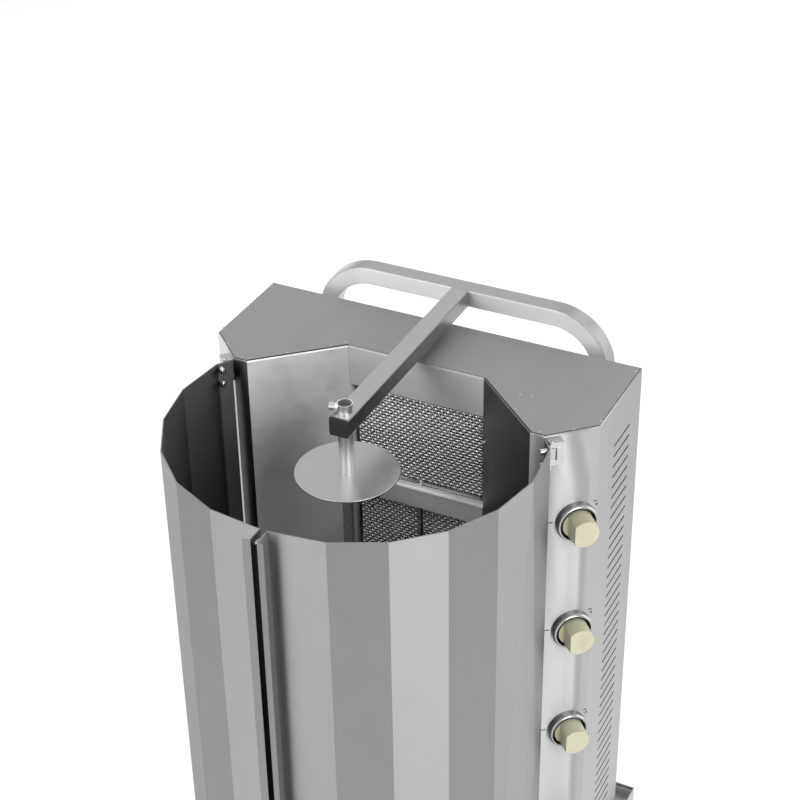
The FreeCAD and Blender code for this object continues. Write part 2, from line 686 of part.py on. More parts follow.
# Grease drawer on its two runners
runners = new_body("drawer_runners")
runner_sketch = sketch_on(runners, "XZ_Plane", (0, D.base_sheet - D.base_front, 0))
for side in (-1, 1):
    guide = mirrored(side, opening_half)
    wall = mirrored(side, opening_half + D.runner_sheet)
    ledge = mirrored(side, opening_half - D.runner_ledge)
    stand = D.foot_height + D.base_sheet
    shelf = D.runner_height - D.runner_sheet
    polygon(runner_sketch, [
        (wall, stand), (wall, D.runner_height + D.runner_guide),
        (guide, D.runner_height + D.runner_guide), (guide, D.runner_height),
        (ledge, D.runner_height), (ledge, shelf), (guide, shelf), (guide, stand)])
pad(runners, runner_sketch, D.drawer_depth, reverse=True)

drawer = new_body("grease_drawer")
block = sketch_on(drawer, "XY_Plane", (0, 0, drawer_bottom))
rectangle(block, -drawer_half, -D.base_front - D.drawer_lift,
          drawer_half, D.drawer_depth - D.base_front)
pad(drawer, block, D.drawer_height)
front = sketch_on(drawer, "XZ_Plane", (0, -D.base_front - D.drawer_lift, 0))
front_half = opening_half + D.drawer_overlap
rectangle(front, -front_half, drawer_bottom - D.drawer_overlap,
          front_half, drawer_bottom + D.drawer_height + D.drawer_overlap)
pad(drawer, front, D.drawer_front)
well = sketch_on(drawer, "XY_Plane", (0, 0, drawer_bottom + D.drawer_height))
rectangle(well, D.drawer_sheet - drawer_half, D.drawer_sheet - D.base_front,
          drawer_half - D.drawer_sheet, D.drawer_depth - D.base_front - D.drawer_sheet)
pocket(drawer, well, D.drawer_height - D.drawer_sheet)

handle = new_body("drawer_handle")
handle_face = -D.base_front - D.drawer_lift - D.drawer_front
handle_z = drawer_bottom + D.drawer_height / 2
handle_half = D.handle_width / 2
bow = sketch_on(handle, "XY_Plane", (0, 0, handle_z - D.handle_bar / 2))
polygon(bow, [
    (-handle_half, handle_face), (-handle_half, handle_face - D.handle_reach),
    (handle_half, handle_face - D.handle_reach), (handle_half, handle_face),
    (handle_half - D.handle_bar, handle_face),
    (handle_half - D.handle_bar, handle_face - D.handle_reach + D.handle_bar),
    (D.handle_bar - handle_half, handle_face - D.handle_reach + D.handle_bar),
    (D.handle_bar - handle_half, handle_face)])
pad(handle, bow, D.handle_bar)

# Rocker switch in the base front
housing_half = D.switch_width / 2
switch = new_body("switch_housing")
bezel = sketch_on(switch, "XZ_Plane", (switch_x, -D.base_front, D.switch_z))
tall_half = D.switch_height / 2
rectangle(bezel, -housing_half - D.switch_frame, -tall_half - D.switch_frame,
          housing_half + D.switch_frame, tall_half + D.switch_frame)
pad(switch, bezel, D.switch_wall)
body_sketch = sketch_on(switch, "XZ_Plane", (switch_x, -D.base_front, D.switch_z))
rectangle(body_sketch, -housing_half, -tall_half, housing_half, tall_half)
pad(switch, body_sketch, D.switch_depth, reverse=True)
cavity = sketch_on(switch, "XZ_Plane", (switch_x, -D.base_front - D.switch_wall, D.switch_z))
cavity_half = housing_half - D.switch_wall
rectangle(cavity, -cavity_half, D.switch_wall - tall_half, cavity_half, tall_half - D.switch_wall)
pocket(switch, cavity, D.switch_depth)

rocker = new_body("rocker_switch")
rocker_y = D.rocker_inset - D.base_front
barrel = sketch_on(rocker, "YZ_Plane", (switch_x, rocker_y, D.switch_z))
circle(barrel, 0, 0, tall_half - D.switch_wall - D.rocker_play)
pad(rocker, barrel, (cavity_half - D.rocker_play) * 2, middle=True)
paddle = sketch_on(rocker, "YZ_Plane", (switch_x, rocker_y, D.switch_z))
tip_y = -D.rocker_radius - D.rocker_jut
tip_z = D.rocker_half
polygon(paddle, [(0, -tip_z), (tip_y, -tip_z), (tip_y + D.switch_wall, 0), (tip_y, tip_z), (0, tip_z)])
pad(rocker, paddle, (cavity_half - D.rocker_play) * 2, middle=True)

gland = new_body("cable_gland")
gland_sketch = sketch_on(gland, "XZ_Plane", (gland_x, D.base_back, D.manifold_low))
circle(gland_sketch, 0, 0, D.gland_radius)
pad(gland, gland_sketch, D.gland_reach, reverse=True)
gland_inner = sketch_on(gland, "XZ_Plane", (gland_x, D.base_back, D.manifold_low))
circle(gland_inner, 0, 0, D.gland_radius)
pad(gland, gland_inner, D.gland_radius)
gland_nut = sketch_on(gland, "XZ_Plane", (gland_x, D.base_back, D.manifold_low))
circle(gland_nut, 0, 0, D.gland_nut)
pad(gland, gland_nut, D.gland_radius / 2, reverse=True)
gland_bore = sketch_on(gland, "XZ_Plane", (gland_x, D.base_back + D.gland_reach, D.manifold_low))
circle(gland_bore, 0, 0, D.gland_radius / 2)
pocket(gland, gland_bore, D.gland_reach + D.gland_radius, reverse=True)

# Gear motor under the spit, drive bush, shaft with coupling cup, meat plate and skewer
motor = new_body("gear_motor")
stand_z = D.foot_height + D.base_sheet
gear_half_x = D.gearbox_width / 2
gear_half_y = D.gearbox_depth / 2
gearbox_low = D.gearbox_top - D.gearbox_height
foot = sketch_on(motor, "XY_Plane", (0, D.spit_y, stand_z))
foot_x = D.gear_foot_width / 2
foot_y = D.gear_foot_depth / 2
rectangle(foot, -foot_x, -foot_y, foot_x, foot_y)
pad(motor, foot, gearbox_low - stand_z)
box = sketch_on(motor, "XY_Plane", (0, D.spit_y, gearbox_low))
rectangle(box, -gear_half_x, -gear_half_y, gear_half_x, gear_half_y)
pad(motor, box, D.gearbox_height)
boss = sketch_on(motor, "XY_Plane", (0, D.spit_y, D.gearbox_top))
circle(boss, 0, 0, D.boss_radius)
pad(motor, boss, D.boss_height)
can = sketch_on(motor, "XZ_Plane", (0, D.spit_y + gear_half_y, D.gearbox_top - D.motor_radius))
circle(can, 0, 0, D.motor_radius)
pad(motor, can, D.motor_length, reverse=True)
shaft_bore = D.shaft_radius + D.shaft_clearance
seat = sketch_on(motor, "XY_Plane", (0, D.spit_y, D.gearbox_top + D.boss_height))
circle(seat, 0, 0, shaft_bore)
shaft_seat_depth = D.boss_height + D.shaft_seat
pocket(motor, seat, shaft_seat_depth)

bush = new_body("drive_bearing")
bush_sketch = sketch_on(bush, "XY_Plane", (0, D.spit_y, sump_floor - D.tray_sheet))
circle(bush_sketch, 0, 0, bush_radius)
circle(bush_sketch, 0, 0, shaft_bore)
pad(bush, bush_sketch, D.collar_height + D.tray_sheet)

cup_bottom = sump_floor + D.collar_height + D.cup_gap
cup_top = cup_bottom + D.cup_height
shaft_bottom = D.gearbox_top - D.shaft_seat + D.cup_gap
socket_half = D.skewer_size / 2 + D.skewer_clearance
drive = new_body("drive_shaft")
shaft = sketch_on(drive, "XY_Plane", (0, D.spit_y, shaft_bottom))
circle(shaft, 0, 0, D.shaft_radius)
pad(drive, shaft, cup_bottom - shaft_bottom)
cup = sketch_on(drive, "XY_Plane", (0, D.spit_y, cup_bottom))
circle(cup, 0, 0, D.cup_radius)
pad(drive, cup, D.cup_height)
socket = sketch_on(drive, "XY_Plane", (0, D.spit_y, cup_top))
turned_square(socket, 0, 0, socket_half, D.skewer_angle)
pocket(drive, socket, D.cup_height - D.cup_floor)

plate = new_body("meat_plate")
plate_section = sketch_on(plate, "XZ_Plane", (0, D.spit_y, cup_top))
polygon(plate_section, [
    (0, 0), (D.plate_radius, 0), (D.plate_radius, D.plate_rim),
    (D.plate_radius - D.plate_sheet, D.plate_rim),
    (D.plate_radius - D.plate_sheet, D.plate_sheet), (0, D.plate_sheet)])
revolve(plate, plate_section)
plate_hole = sketch_on(plate, "XY_Plane", (0, D.spit_y, cup_top + D.plate_sheet))
turned_square(plate_hole, 0, 0, socket_half, D.skewer_angle)
pocket(plate, plate_hole, D.plate_sheet)

skewer = new_body("skewer")
skewer_bottom = cup_bottom + D.cup_floor
skewer_top = cover_top - D.skewer_below
bar = sketch_on(skewer, "XY_Plane", (0, D.spit_y, skewer_bottom))
turned_square(bar, 0, 0, D.skewer_size / 2, D.skewer_angle)
pad(skewer, bar, skewer_top - skewer_bottom)

# Upper spit bearing: sleeve through the arm, disc and thumb screw
arm_top = cover_top + D.frame_rise
sleeve_top = arm_top + D.sleeve_above
disc_bottom = cover_top - D.disc_drop
disc_top = disc_bottom + D.disc_sheet
screw_z = sleeve_top - D.screw_drop
disc = new_body("top_disc")
disc_sketch = sketch_on(disc, "XY_Plane", (0, D.spit_y, disc_bottom))
circle(disc_sketch, 0, 0, D.disc_radius)
turned_square(disc_sketch, 0, 0, D.skewer_size / 2 + D.disc_clearance, D.skewer_angle)
pad(disc, disc_sketch, D.disc_sheet)

sleeve = new_body("top_sleeve")
sleeve_bore = D.sleeve_radius - D.sleeve_wall
tube_sketch = sketch_on(sleeve, "XY_Plane", (0, D.spit_y, disc_top))
circle(tube_sketch, 0, 0, D.sleeve_radius)
pad(sleeve, tube_sketch, sleeve_top - disc_top)
boss_sketch = sketch_on(sleeve, "XZ_Plane", (0, D.spit_y, screw_z), turn=D.skewer_angle - 90)
circle(boss_sketch, 0, 0, D.screw_boss_radius)
pad(sleeve, boss_sketch, D.screw_boss)
bore_sketch = sketch_on(sleeve, "XY_Plane", (0, D.spit_y, sleeve_top))
circle(bore_sketch, 0, 0, sleeve_bore)
pocket(sleeve, bore_sketch, sleeve_top - disc_top)
screw_hole = sketch_on(sleeve, "XZ_Plane", (0, D.spit_y, screw_z), turn=D.skewer_angle - 90)
circle(screw_hole, 0, 0, D.screw_radius + D.screw_play)
pocket(sleeve, screw_hole, D.screw_boss * 2, reverse=True)

thumb = new_body("thumb_screw")
shank = sketch_on(thumb, "XZ_Plane", (0, D.spit_y, screw_z), turn=D.skewer_angle - 90,
                  lift=sleeve_bore)
circle(shank, 0, 0, D.screw_radius)
head_start = D.screw_boss + D.screw_gap
pad(thumb, shank, head_start - sleeve_bore)
head = sketch_on(thumb, "XZ_Plane", (0, D.spit_y, screw_z), turn=D.skewer_angle - 90,
                 lift=head_start)
circle(head, 0, 0, D.screw_head)
pad(thumb, head, D.screw_head_length)

# Bent frame tube behind the housing
frame = new_body("support_frame")
frame_y = D.base_back + D.tube_size / 2
bar_z = arm_top - D.tube_size / 2
bend_z = bar_z - D.tube_bend


def tube_section(sketch, x, y):
    """Draws the section of the square tube about its middle."""
    rounded_square(sketch, x, y, D.tube_size, D.tube_corner)
    rounded_square(sketch, x, y, D.tube_size - D.tube_wall * 2, D.tube_corner - D.tube_wall)


bar = sketch_on(frame, "YZ_Plane", (0, frame_y, bar_z))
tube_section(bar, 0, 0)
pad(frame, bar, D.frame_width - D.tube_bend * 2, middle=True)
for side in (-1, 1):
    elbow = sketch_on(frame, "XY_Plane", (mirrored(side, frame_half - D.tube_bend), frame_y, bend_z))
    tube_section(elbow, mirrored(side, D.tube_bend), 0)
    revolve(frame, elbow, angle=90.0, reverse=side > 0)
    leg = sketch_on(frame, "XY_Plane", (mirrored(side, frame_half), frame_y, bend_z))
    tube_section(leg, 0, 0)
    pad(frame, leg, bend_z - D.leg_bottom, reverse=True)

# Arm over the spit, with the guide tube that the spit sleeve slides in
support_arm = new_body("support_arm")
arm_front = D.spit_y - D.arm_end
guide_radius = D.sleeve_radius + D.sleeve_clearance + D.guide_wall
arm = sketch_on(support_arm, "XZ_Plane", (0, arm_front, 0))
tube_section(arm, 0, bar_z)
pad(support_arm, arm, D.base_back - arm_front, reverse=True)
guide = sketch_on(support_arm, "XY_Plane", (0, D.spit_y, arm_top - D.tube_wall / 2))
circle(guide, 0, 0, guide_radius)
pad(support_arm, guide, D.tube_size - D.tube_wall, reverse=True)
bearing = sketch_on(support_arm, "XY_Plane", (0, D.spit_y, arm_top))
circle(bearing, 0, 0, D.sleeve_radius + D.sleeve_clearance)
pocket(support_arm, bearing, D.tube_size)

cap = new_body("arm_end_cap")
cap_outer = sketch_on(cap, "XZ_Plane", (0, arm_front, 0))
rounded_square(cap_outer, 0, bar_z, D.tube_size, D.tube_corner)
pad(cap, cap_outer, D.cap_flange)
cap_inner = sketch_on(cap, "XZ_Plane", (0, arm_front, 0))
rounded_square(cap_inner, 0, bar_z, D.tube_size - D.tube_wall * 2, D.tube_corner - D.tube_wall)
cap_reach = D.arm_end - guide_radius - D.sleeve_clearance
pad(cap, cap_inner, cap_reach, reverse=True)
cap_hollow = sketch_on(cap, "XZ_Plane", (0, arm_front + cap_reach, 0))
rounded_square(cap_hollow, 0, bar_z, D.tube_size - D.tube_wall * 4, D.tube_corner - D.tube_wall)
pocket(cap, cap_hollow, cap_reach, reverse=True)

# Housing panels folded from sheet
def add_top_flange(body, start, runs, hand, start_cut, end_cut):
    """Adds the flange folded in at the top of a panel."""
    strip = sketch_on(body, "XY_Plane", (0, 0, panel_top))
    sheet_section(strip, start, runs, D.top_flange, hand, start_cut, end_cut)
    return pad(body, strip, D.panel_sheet, reverse=True)


def round_top(body, base, corners):
    """Rounds the outer top edges that lie on the lines between plan corners."""
    def on_outline(edge):
        if len(edge.Vertexes) != 2:
            return False
        ends = [vertex.Point for vertex in edge.Vertexes]
        if not all(near(end.z, panel_top.value) for end in ends):
            return False
        for first, second in zip(corners, corners[1:]):
            way = (second - first).normalize()
            offsets = [(Vector(end.x, end.y, 0) - first).cross(way).Length for end in ends]
            along = [(Vector(end.x, end.y, 0) - first).dot(way) for end in ends]
            reach = (second - first).Length
            inside = all(-0.05 <= value <= reach + 0.05 for value in along)
            if all(offset < 0.01 for offset in offsets) and inside:
                return True
        return False
    return fillet(body, base, on_outline, D.top_bend)


knob_points = [(D.knob_along, -D.knob_drop - row_pitch * row) for row in range(ROWS)]
vent_low = cover_top - D.vent_top
vent_room = int((vent_low.value - floor_z.value) // D.vent_pitch.value)
for word, side in SIDES:
    start = (mirrored(side, side_x), back_y)
    runs = [
        (D.side_depth, heading(side, as_size(-90))),
        (D.control_width, heading(side, D.control_angle - 180)),
        (D.return_width - D.seam_gap / 2, heading(side, as_size(-180))),
    ]
    panel = new_body(f"{word}_side_panel")
    wall = sketch_on(panel, "XY_Plane", (0, 0, floor_z))
    sheet_section(wall, start, runs, D.panel_sheet, -side, ZERO, D.wing_angle / 2)
    pad(panel, wall, panel_height)
    flange = add_top_flange(panel, start, runs, -side, ZERO, D.wing_angle / 2)
    corners = [
        Vector(side * side_x.value, back_y.value, 0),
        Vector(side * side_x.value, side_y.value, 0),
        Vector(side * corner_x.value, front_y.value, 0),
        Vector(side * wing_x.value, front_y.value, 0),
    ]
    round_top(panel, flange, corners)
    if side > 0:
        face = sketch_on(panel, "XZ_Plane", (corner_x, front_y, cover_top), turn=D.control_angle)
        for along, height in knob_points:
            circle(face, along, height, D.stem_hole)
        pocket(panel, face, D.panel_sheet * 4, middle=True)
    vents = sketch_on(panel, "YZ_Plane", (mirrored(side, side_x), 0, vent_low - D.vent_pitch * vent_room))
    vent_y1 = back_y - D.vent_back
    rectangle(vents, vent_y1 - D.vent_width, -D.vent_height / 2, vent_y1, D.vent_height / 2)
    slot = pocket(panel, vents, D.panel_sheet * 4, middle=True)
    rows = panel.newObject("PartDesign::LinearPattern", "Vents")
    rows.Originals = [slot]
    rows.Direction = (vents, ["V_Axis"])
    rows.Mode = "Spacing"
    rows.Offset = D.vent_pitch.value
    rows.setExpression("Offset", D.vent_pitch.formula)
    rows.Occurrences = vent_room + 1
    panel.Tip = rows

for word, side in SIDES:
    step_x = D.seam_gap / 2 * cosine(D.wing_angle)
    step_y = D.seam_gap / 2 * sine(D.wing_angle)
    start = (mirrored(side, wing_x - step_x), front_y + step_y)
    runs = [(D.wing_width - D.seam_gap / 2, heading(side, as_size(180) - D.wing_angle))]
    wing = new_body(f"{word}_wing_panel")
    wall = sketch_on(wing, "XY_Plane", (0, 0, floor_z))
    sheet_section(wall, start, runs, D.panel_sheet, -side, D.wing_angle / 2, ZERO)
    pad(wing, wall, panel_height)
    flange = add_top_flange(wing, start, runs, -side, D.wing_angle / 2, ZERO)
    corners = [
        Vector(side * wing_x.value, front_y.value, 0),
        Vector(side * column_half.value, column_y.value, 0),
    ]
    round_top(wing, flange, corners)
    cheek = sketch_on(wing, "XY_Plane", (0, 0, floor_z))
    sheet_section(cheek, (mirrored(side, column_half), column_y),
                  [(D.wing_return, heading(side, as_size(90)))], D.panel_sheet, -side)
    pad(wing, cheek, panel_height - D.top_flange)
    if side > 0:
        holes = sketch_on(wing, "XZ_Plane", (column_half, column_y, cover_top), turn=-D.wing_angle)
        for row in range(ROWS):
            height = -D.opening_top - D.igniter_drop - row_pitch * row
            circle(holes, D.igniter_edge, height, D.igniter_radius)
        pocket(wing, holes, D.panel_sheet * 3, middle=True)

igniters = new_body("igniters")
rods = sketch_on(igniters, "XZ_Plane", (column_half, column_y, cover_top), turn=-D.wing_angle,
                 lift=-D.igniter_root)
for row in range(ROWS):
    height = -D.opening_top - D.igniter_drop - row_pitch * row
    circle(rods, D.igniter_edge, height, D.igniter_radius)
pad(igniters, rods, D.igniter_root + D.igniter_reach)

header = new_body("header_panel")
header_half = column_half - D.seam_gap
header_bottom = cover_top - D.opening_top
profile = sketch_on(header, "YZ_Plane", (0, column_y, 0))
sheet_section(profile, (D.top_flange, header_bottom),
              [(D.top_flange, as_size(180)), (panel_top - header_bottom, as_size(90)),
               (D.top_flange, as_size(0))], D.panel_sheet, -1)
folded = pad(header, profile, header_half * 2, middle=True)
fillet(header, folded, lambda edge: near(edge.CenterOfMass.z, panel_top.value)
       and near(edge.CenterOfMass.y, column_y.value), D.top_bend)

back = new_body("back_panel")
back_half = side_x - D.panel_sheet
wall = sketch_on(back, "XZ_Plane", (0, back_y, 0))
rectangle(wall, -back_half, floor_z, back_half, panel_top - D.panel_sheet)
pad(back, wall, D.panel_sheet)
fold_half = side_x - D.top_flange - D.seam_gap
rise = sketch_on(back, "XZ_Plane", (0, back_y, 0))
rectangle(rise, -fold_half, floor_z, fold_half, panel_top)
pad(back, rise, D.panel_sheet)
fold = sketch_on(back, "XZ_Plane", (0, back_y, 0))
rectangle(fold, -fold_half, panel_top - D.panel_sheet, fold_half, panel_top)
pad(back, fold, D.top_flange)

outline = doc.addObject("Sketcher::SketchObject", "CoverOutline")
right_points = [(side_x, back_y), (side_x, side_y), (corner_x, front_y), (wing_x, front_y),
                (column_half, column_y)]
polygon(outline, right_points + [(-x, y) for x, y in reversed(right_points)])
inset = doc.addObject("Part::Offset2D", "CoverInset")
inset.Source = outline
inset.Join = 2
inset.Value = -D.cover_inset.value
inset.setExpression("Value", (-D.cover_inset).formula)
cover = doc.addObject("Part::Extrusion", "top_cover")
cover.Base = inset
cover.DirMode = "Custom"
cover.Dir = Vector(0, 0, 1)
cover.LengthFwd = D.cover_sheet.value
cover.setExpression("LengthFwd", D.cover_sheet.formula)
cover.Solid = True
cover.Placement = Placement(Vector(0, 0, panel_top.value), Rotation())
cover.setExpression("Placement.Base.z", panel_top.formula)
keep(cover, "top_cover")

# Stepped shelves between the burner rows and the sill under the last one
burner_y = column_y + D.burner_recess
shelf_half = column_half - D.seam_gap


def add_shelf(body, top_z, front_height):
    """Adds a folded shelf whose front edge is at top_z."""
    profile = sketch_on(body, "YZ_Plane", (0, column_y, top_z))
    step_back = D.burner_recess + D.shelf_depth - D.ledge_depth
    runs = [
        (D.shelf_foot, as_size(180)),
        (front_height, as_size(90)),
        (D.ledge_depth, as_size(0)),
        (D.ledge_rise, as_size(90)),
        (step_back, as_size(0)),
    ]
    sheet_section(profile, (D.shelf_foot, -front_height), runs, D.panel_sheet, -1)
    return pad(body, profile, shelf_half * 2, middle=True)


def opening_bottom(row):
    """Height of the lower edge of a burner opening."""
    return cover_top - D.opening_top - opening_height - row_pitch * row


shelves = new_body("divider_shelves")
for row in range(ROWS - 1):
    add_shelf(shelves, opening_bottom(row), D.shelf_height)
add_shelf(shelves, opening_bottom(ROWS - 1), opening_bottom(ROWS - 1) - floor_z)

# Burner rows: two boxes joined by their gas mixing tube, each with a tile and a mesh guard
burner_step = D.burner_width + D.burner_gap
first_x = burner_step * (-(BURNERS_PER_ROW - 1) / 2)
tile_y = burner_y + D.tile_setback


def burner_bottom(row):
    """Height of the seat of a burner row."""
    return opening_bottom(row) + D.ledge_rise


def centred(sketch, x, y, width, height):
    """Draws a rectangle about its middle."""
    rectangle(sketch, x - width / 2, y - height / 2, x + width / 2, y + height / 2)


for row in range(ROWS):
    bottom = burner_bottom(row)
    middle_z = bottom + burner_height / 2
    burner = new_body(f"burner_row_{row + 1}")
    boxes = sketch_on(burner, "XZ_Plane", (0, burner_y, middle_z))
    seats = []
    for column in range(BURNERS_PER_ROW):
        seats.append(first_x + burner_step * column)
    for x in seats:
        centred(boxes, x, ZERO, D.burner_width, burner_height)
    pad(burner, boxes, D.burner_depth, reverse=True)
    lips = sketch_on(burner, "XZ_Plane", (0, burner_y, bottom))
    for x in seats:
        rectangle(lips, x - D.burner_width / 2, ZERO, x + D.burner_width / 2, D.lip_height)
    pad(burner, lips, D.lip_depth)
    mixer_y = burner_y + D.burner_depth + D.mixer_radius - D.mixer_wall
    mixer_z = cover_top - D.knob_drop - row_pitch * row + D.valve_size / 2 + D.pipe_rise
    tube = sketch_on(burner, "YZ_Plane", (D.mixer_reach, mixer_y, mixer_z))
    circle(tube, 0, 0, D.mixer_radius)
    pad(burner, tube, D.mixer_reach + D.burner_width, reverse=True)
    openings = sketch_on(burner, "XZ_Plane", (0, burner_y, middle_z))
    for x in seats:
        centred(openings, x, ZERO, D.tile_width + D.tile_clearance * 2,
                tile_height + D.tile_clearance * 2)
    pocket(burner, openings, D.tile_setback + D.tile_thickness)
    plenum = sketch_on(burner, "XZ_Plane", (0, burner_y, middle_z))
    for x in seats:
        centred(plenum, x, ZERO, D.tile_width - D.tile_ledge * 2, tile_height - D.tile_ledge * 2)
    pocket(burner, plenum, D.burner_depth - D.mixer_wall)
    mouth = sketch_on(burner, "YZ_Plane", (D.mixer_reach, mixer_y, mixer_z))
    circle(mouth, 0, 0, D.mixer_radius - D.mixer_wall)
    pocket(burner, mouth, D.mixer_reach / 2)

tiles = new_body("ceramic_tiles")
tile_sketch = sketch_on(tiles, "XZ_Plane", (0, tile_y, 0))
for row in range(ROWS):
    for column in range(BURNERS_PER_ROW):
        centred(tile_sketch, first_x + burner_step * column,
                burner_bottom(row) + burner_height / 2, D.tile_width, tile_height)
pad(tiles, tile_sketch, D.tile_thickness, reverse=True)

MESH_COLUMNS = 4
MESH_LINES = 9


def holed_plate(width, height, border, bar, thickness):
    """A flat plate with a grid of square gaps."""
    gap_x = (width - border * 2 - bar * (MESH_COLUMNS - 1)) / MESH_COLUMNS
    gap_z = (height - border * 2 - bar * (MESH_LINES - 1)) / MESH_LINES
    wires = [Part.makePolygon([Vector(-width / 2, 0, 0), Vector(width / 2, 0, 0),
                               Vector(width / 2, 0, height), Vector(-width / 2, 0, height),
                               Vector(-width / 2, 0, 0)])]
    for column in range(MESH_COLUMNS):
        x0 = border - width / 2 + column * (gap_x + bar)
        for line in range(MESH_LINES):
            z0 = border + line * (gap_z + bar)
            wires.append(Part.makePolygon([Vector(x0, 0, z0), Vector(x0, 0, z0 + gap_z),
                                           Vector(x0 + gap_x, 0, z0 + gap_z), Vector(x0 + gap_x, 0, z0),
                                           Vector(x0, 0, z0)]))
    sheet_face = Part.makeFace(wires, "Part::FaceMakerBullseye")
    return sheet_face.extrude(Vector(0, -thickness, 0))


def from_sheet(alias):
    """Reads a size back from the sheet."""
    return float(sheet.get(alias))


mesh_height = burner_height.value - from_sheet("lip_height")
guard = holed_plate(from_sheet("burner_width"), mesh_height, from_sheet("mesh_border"),
                    from_sheet("mesh_bar"), from_sheet("mesh_thickness"))
for row in range(ROWS):
    copies = []
    for column in range(BURNERS_PER_ROW):
        copy = guard.copy()
        copy.translate(Vector((first_x + burner_step * column).value, 0, 0))
        copies.append(copy)
    mesh = doc.addObject("Part::Feature", f"mesh_guard_{row + 1}")
    mesh.Shape = Part.makeCompound(copies)
    mesh_z = burner_bottom(row) + D.lip_height
    mesh.Placement = Placement(Vector(0, burner_y.value, mesh_z.value), Rotation())
    mesh.setExpression("Placement.Base.y", burner_y.formula)
    mesh.setExpression("Placement.Base.z", mesh_z.formula)
    keep(mesh, f"mesh_guard_{row + 1}")

# Control knobs with their bezels, stems and valves, gas manifold and feed pipes
face_base = (corner_x, front_y, cover_top)


def turned_on_face(body, along, height):
    """Adds a sketch whose V axis stands on the control face, with outward below."""
    x = corner_x + along * cosine(D.control_angle)
    y = front_y + along * sine(D.control_angle)
    return sketch_on(body, "XY_Plane", (x, y, cover_top + height), turn=D.control_angle)


bezels = new_body("knob_bezels")
for along, height in knob_points:
    ring = turned_on_face(bezels, along, height)
    shoulder = arc_points(D.bezel_radius - D.bezel_round, D.bezel_round - D.bezel_height,
                          D.bezel_round, 0.0, -90.0)
    polygon(ring, [(D.stem_hole, ZERO), (D.bezel_radius, ZERO)] + shoulder[:-1] + [
        (D.bezel_front, -D.bezel_height), (D.bezel_bore, -D.bezel_height),
        (D.bezel_bore, -D.bezel_floor), (D.stem_hole, -D.bezel_floor)])
    revolve(bezels, ring)

valves = new_body("gas_valves")
behind = -D.panel_sheet
blocks = sketch_on(valves, "XZ_Plane", face_base, turn=D.control_angle, lift=behind)
for along, height in knob_points:
    centred(blocks, along, height, D.valve_size, D.valve_size)
pad(valves, blocks, D.valve_length, reverse=True)
stem_bores = sketch_on(valves, "XZ_Plane", face_base, turn=D.control_angle, lift=behind)
for along, height in knob_points:
    circle(stem_bores, along, height, D.stem_radius + D.stem_play)
pocket(valves, stem_bores, D.stem_depth - D.panel_sheet + D.stem_room)

for row, (along, height) in enumerate(knob_points):
    stem = new_body(f"valve_stem_{row + 1}")
    rod = sketch_on(stem, "XZ_Plane", face_base, turn=D.control_angle, lift=-D.stem_depth)
    circle(rod, along, height, D.stem_radius)
    pad(stem, rod, D.stem_depth + D.stem_reach)
    knob = new_body(f"control_knob_{row + 1}")
    front_n = D.knob_stand + D.knob_length
    profile = turned_on_face(knob, along, height)
    edge = arc_points(D.knob_front - D.knob_edge, D.knob_edge - front_n, D.knob_edge, 0.0, -90.0)
    polygon(profile, [(ZERO, -D.knob_stand), (D.knob_radius, -D.knob_stand)] + edge + [(ZERO, -front_n)])
    revolve(knob, profile)
    side_cut = sketch_on(knob, "XZ_Plane", face_base, turn=D.control_angle, lift=front_n)
    rectangle(side_cut, along - D.knob_radius * 2, height - D.knob_radius * 2,
              along - D.knob_flat, height + D.knob_radius * 2)
    pocket(knob, side_cut, D.knob_length - D.knob_skirt)
    bore = sketch_on(knob, "XZ_Plane", face_base, turn=D.control_angle, lift=D.knob_stand)
    circle(bore, along, height, D.stem_radius + D.stem_play)
    pocket(knob, bore, D.stem_reach - D.knob_stand + D.knob_push + D.stem_room, reverse=True)


def on_face(along, height, out):
    """World place of a point on or off the control face."""
    turn = math.radians(D.control_angle.value)
    x = corner_x.value + along * math.cos(turn) + out * math.sin(turn)
    y = front_y.value + along * math.sin(turn) - out * math.cos(turn)
    return Vector(x, y, cover_top.value + height)


manifold_out = -(from_sheet("panel_sheet") + from_sheet("valve_length") + from_sheet("manifold_stand"))
pipe_rise = knob_points[0][1].value + from_sheet("valve_size")
pipe_top = on_face(from_sheet("knob_along"), pipe_rise, manifold_out)
inlet_z = from_sheet("manifold_low")
inlet_y = from_sheet("base_back") - from_sheet("inlet_radius")
manifold_shape = pipe_along(
    [pipe_top, Vector(pipe_top.x, pipe_top.y, inlet_z), Vector(inlet_x.value, pipe_top.y, inlet_z),
     Vector(inlet_x.value, inlet_y, inlet_z)],
    from_sheet("manifold_radius"), from_sheet("manifold_bend"))
for along, height in knob_points:
    half = from_sheet("manifold_boss") / 2
    saddle = Part.makeBox(half * 2, half * 2, from_sheet("manifold_stand"), Vector(-half, -half, 0))
    way = Rotation(from_sheet("control_angle"), 0, 90)
    saddle.Placement = Placement(on_face(along.value, height.value, manifold_out), way)
    manifold_shape = manifold_shape.fuse(saddle)
manifold = doc.addObject("Part::Feature", "gas_manifold")
manifold.Shape = manifold_shape.removeSplitter()
manifold.Placement = Placement()
keep(manifold, "gas_manifold")

pipes = []
for row, (along, height) in enumerate(knob_points):
    outlet_out = -(from_sheet("panel_sheet") + from_sheet("valve_length") / 2)
    outlet = on_face(along.value, height.value + from_sheet("valve_size") / 2, outlet_out)
    rise_z = outlet.z + from_sheet("pipe_rise")
    mix_y = mixer_y.value
    end_x = from_sheet("mixer_reach") - from_sheet("mixer_radius")
    pipes.append(pipe_along(
        [outlet, Vector(outlet.x, outlet.y, rise_z), Vector(outlet.x, mix_y, rise_z),
         Vector(end_x, mix_y, rise_z)],
        from_sheet("pipe_radius"), from_sheet("pipe_bend")))
feeds = doc.addObject("Part::Feature", "feed_pipes")
feeds.Shape = Part.makeCompound(pipes)
feeds.Placement = Placement()
keep(feeds, "feed_pipes")

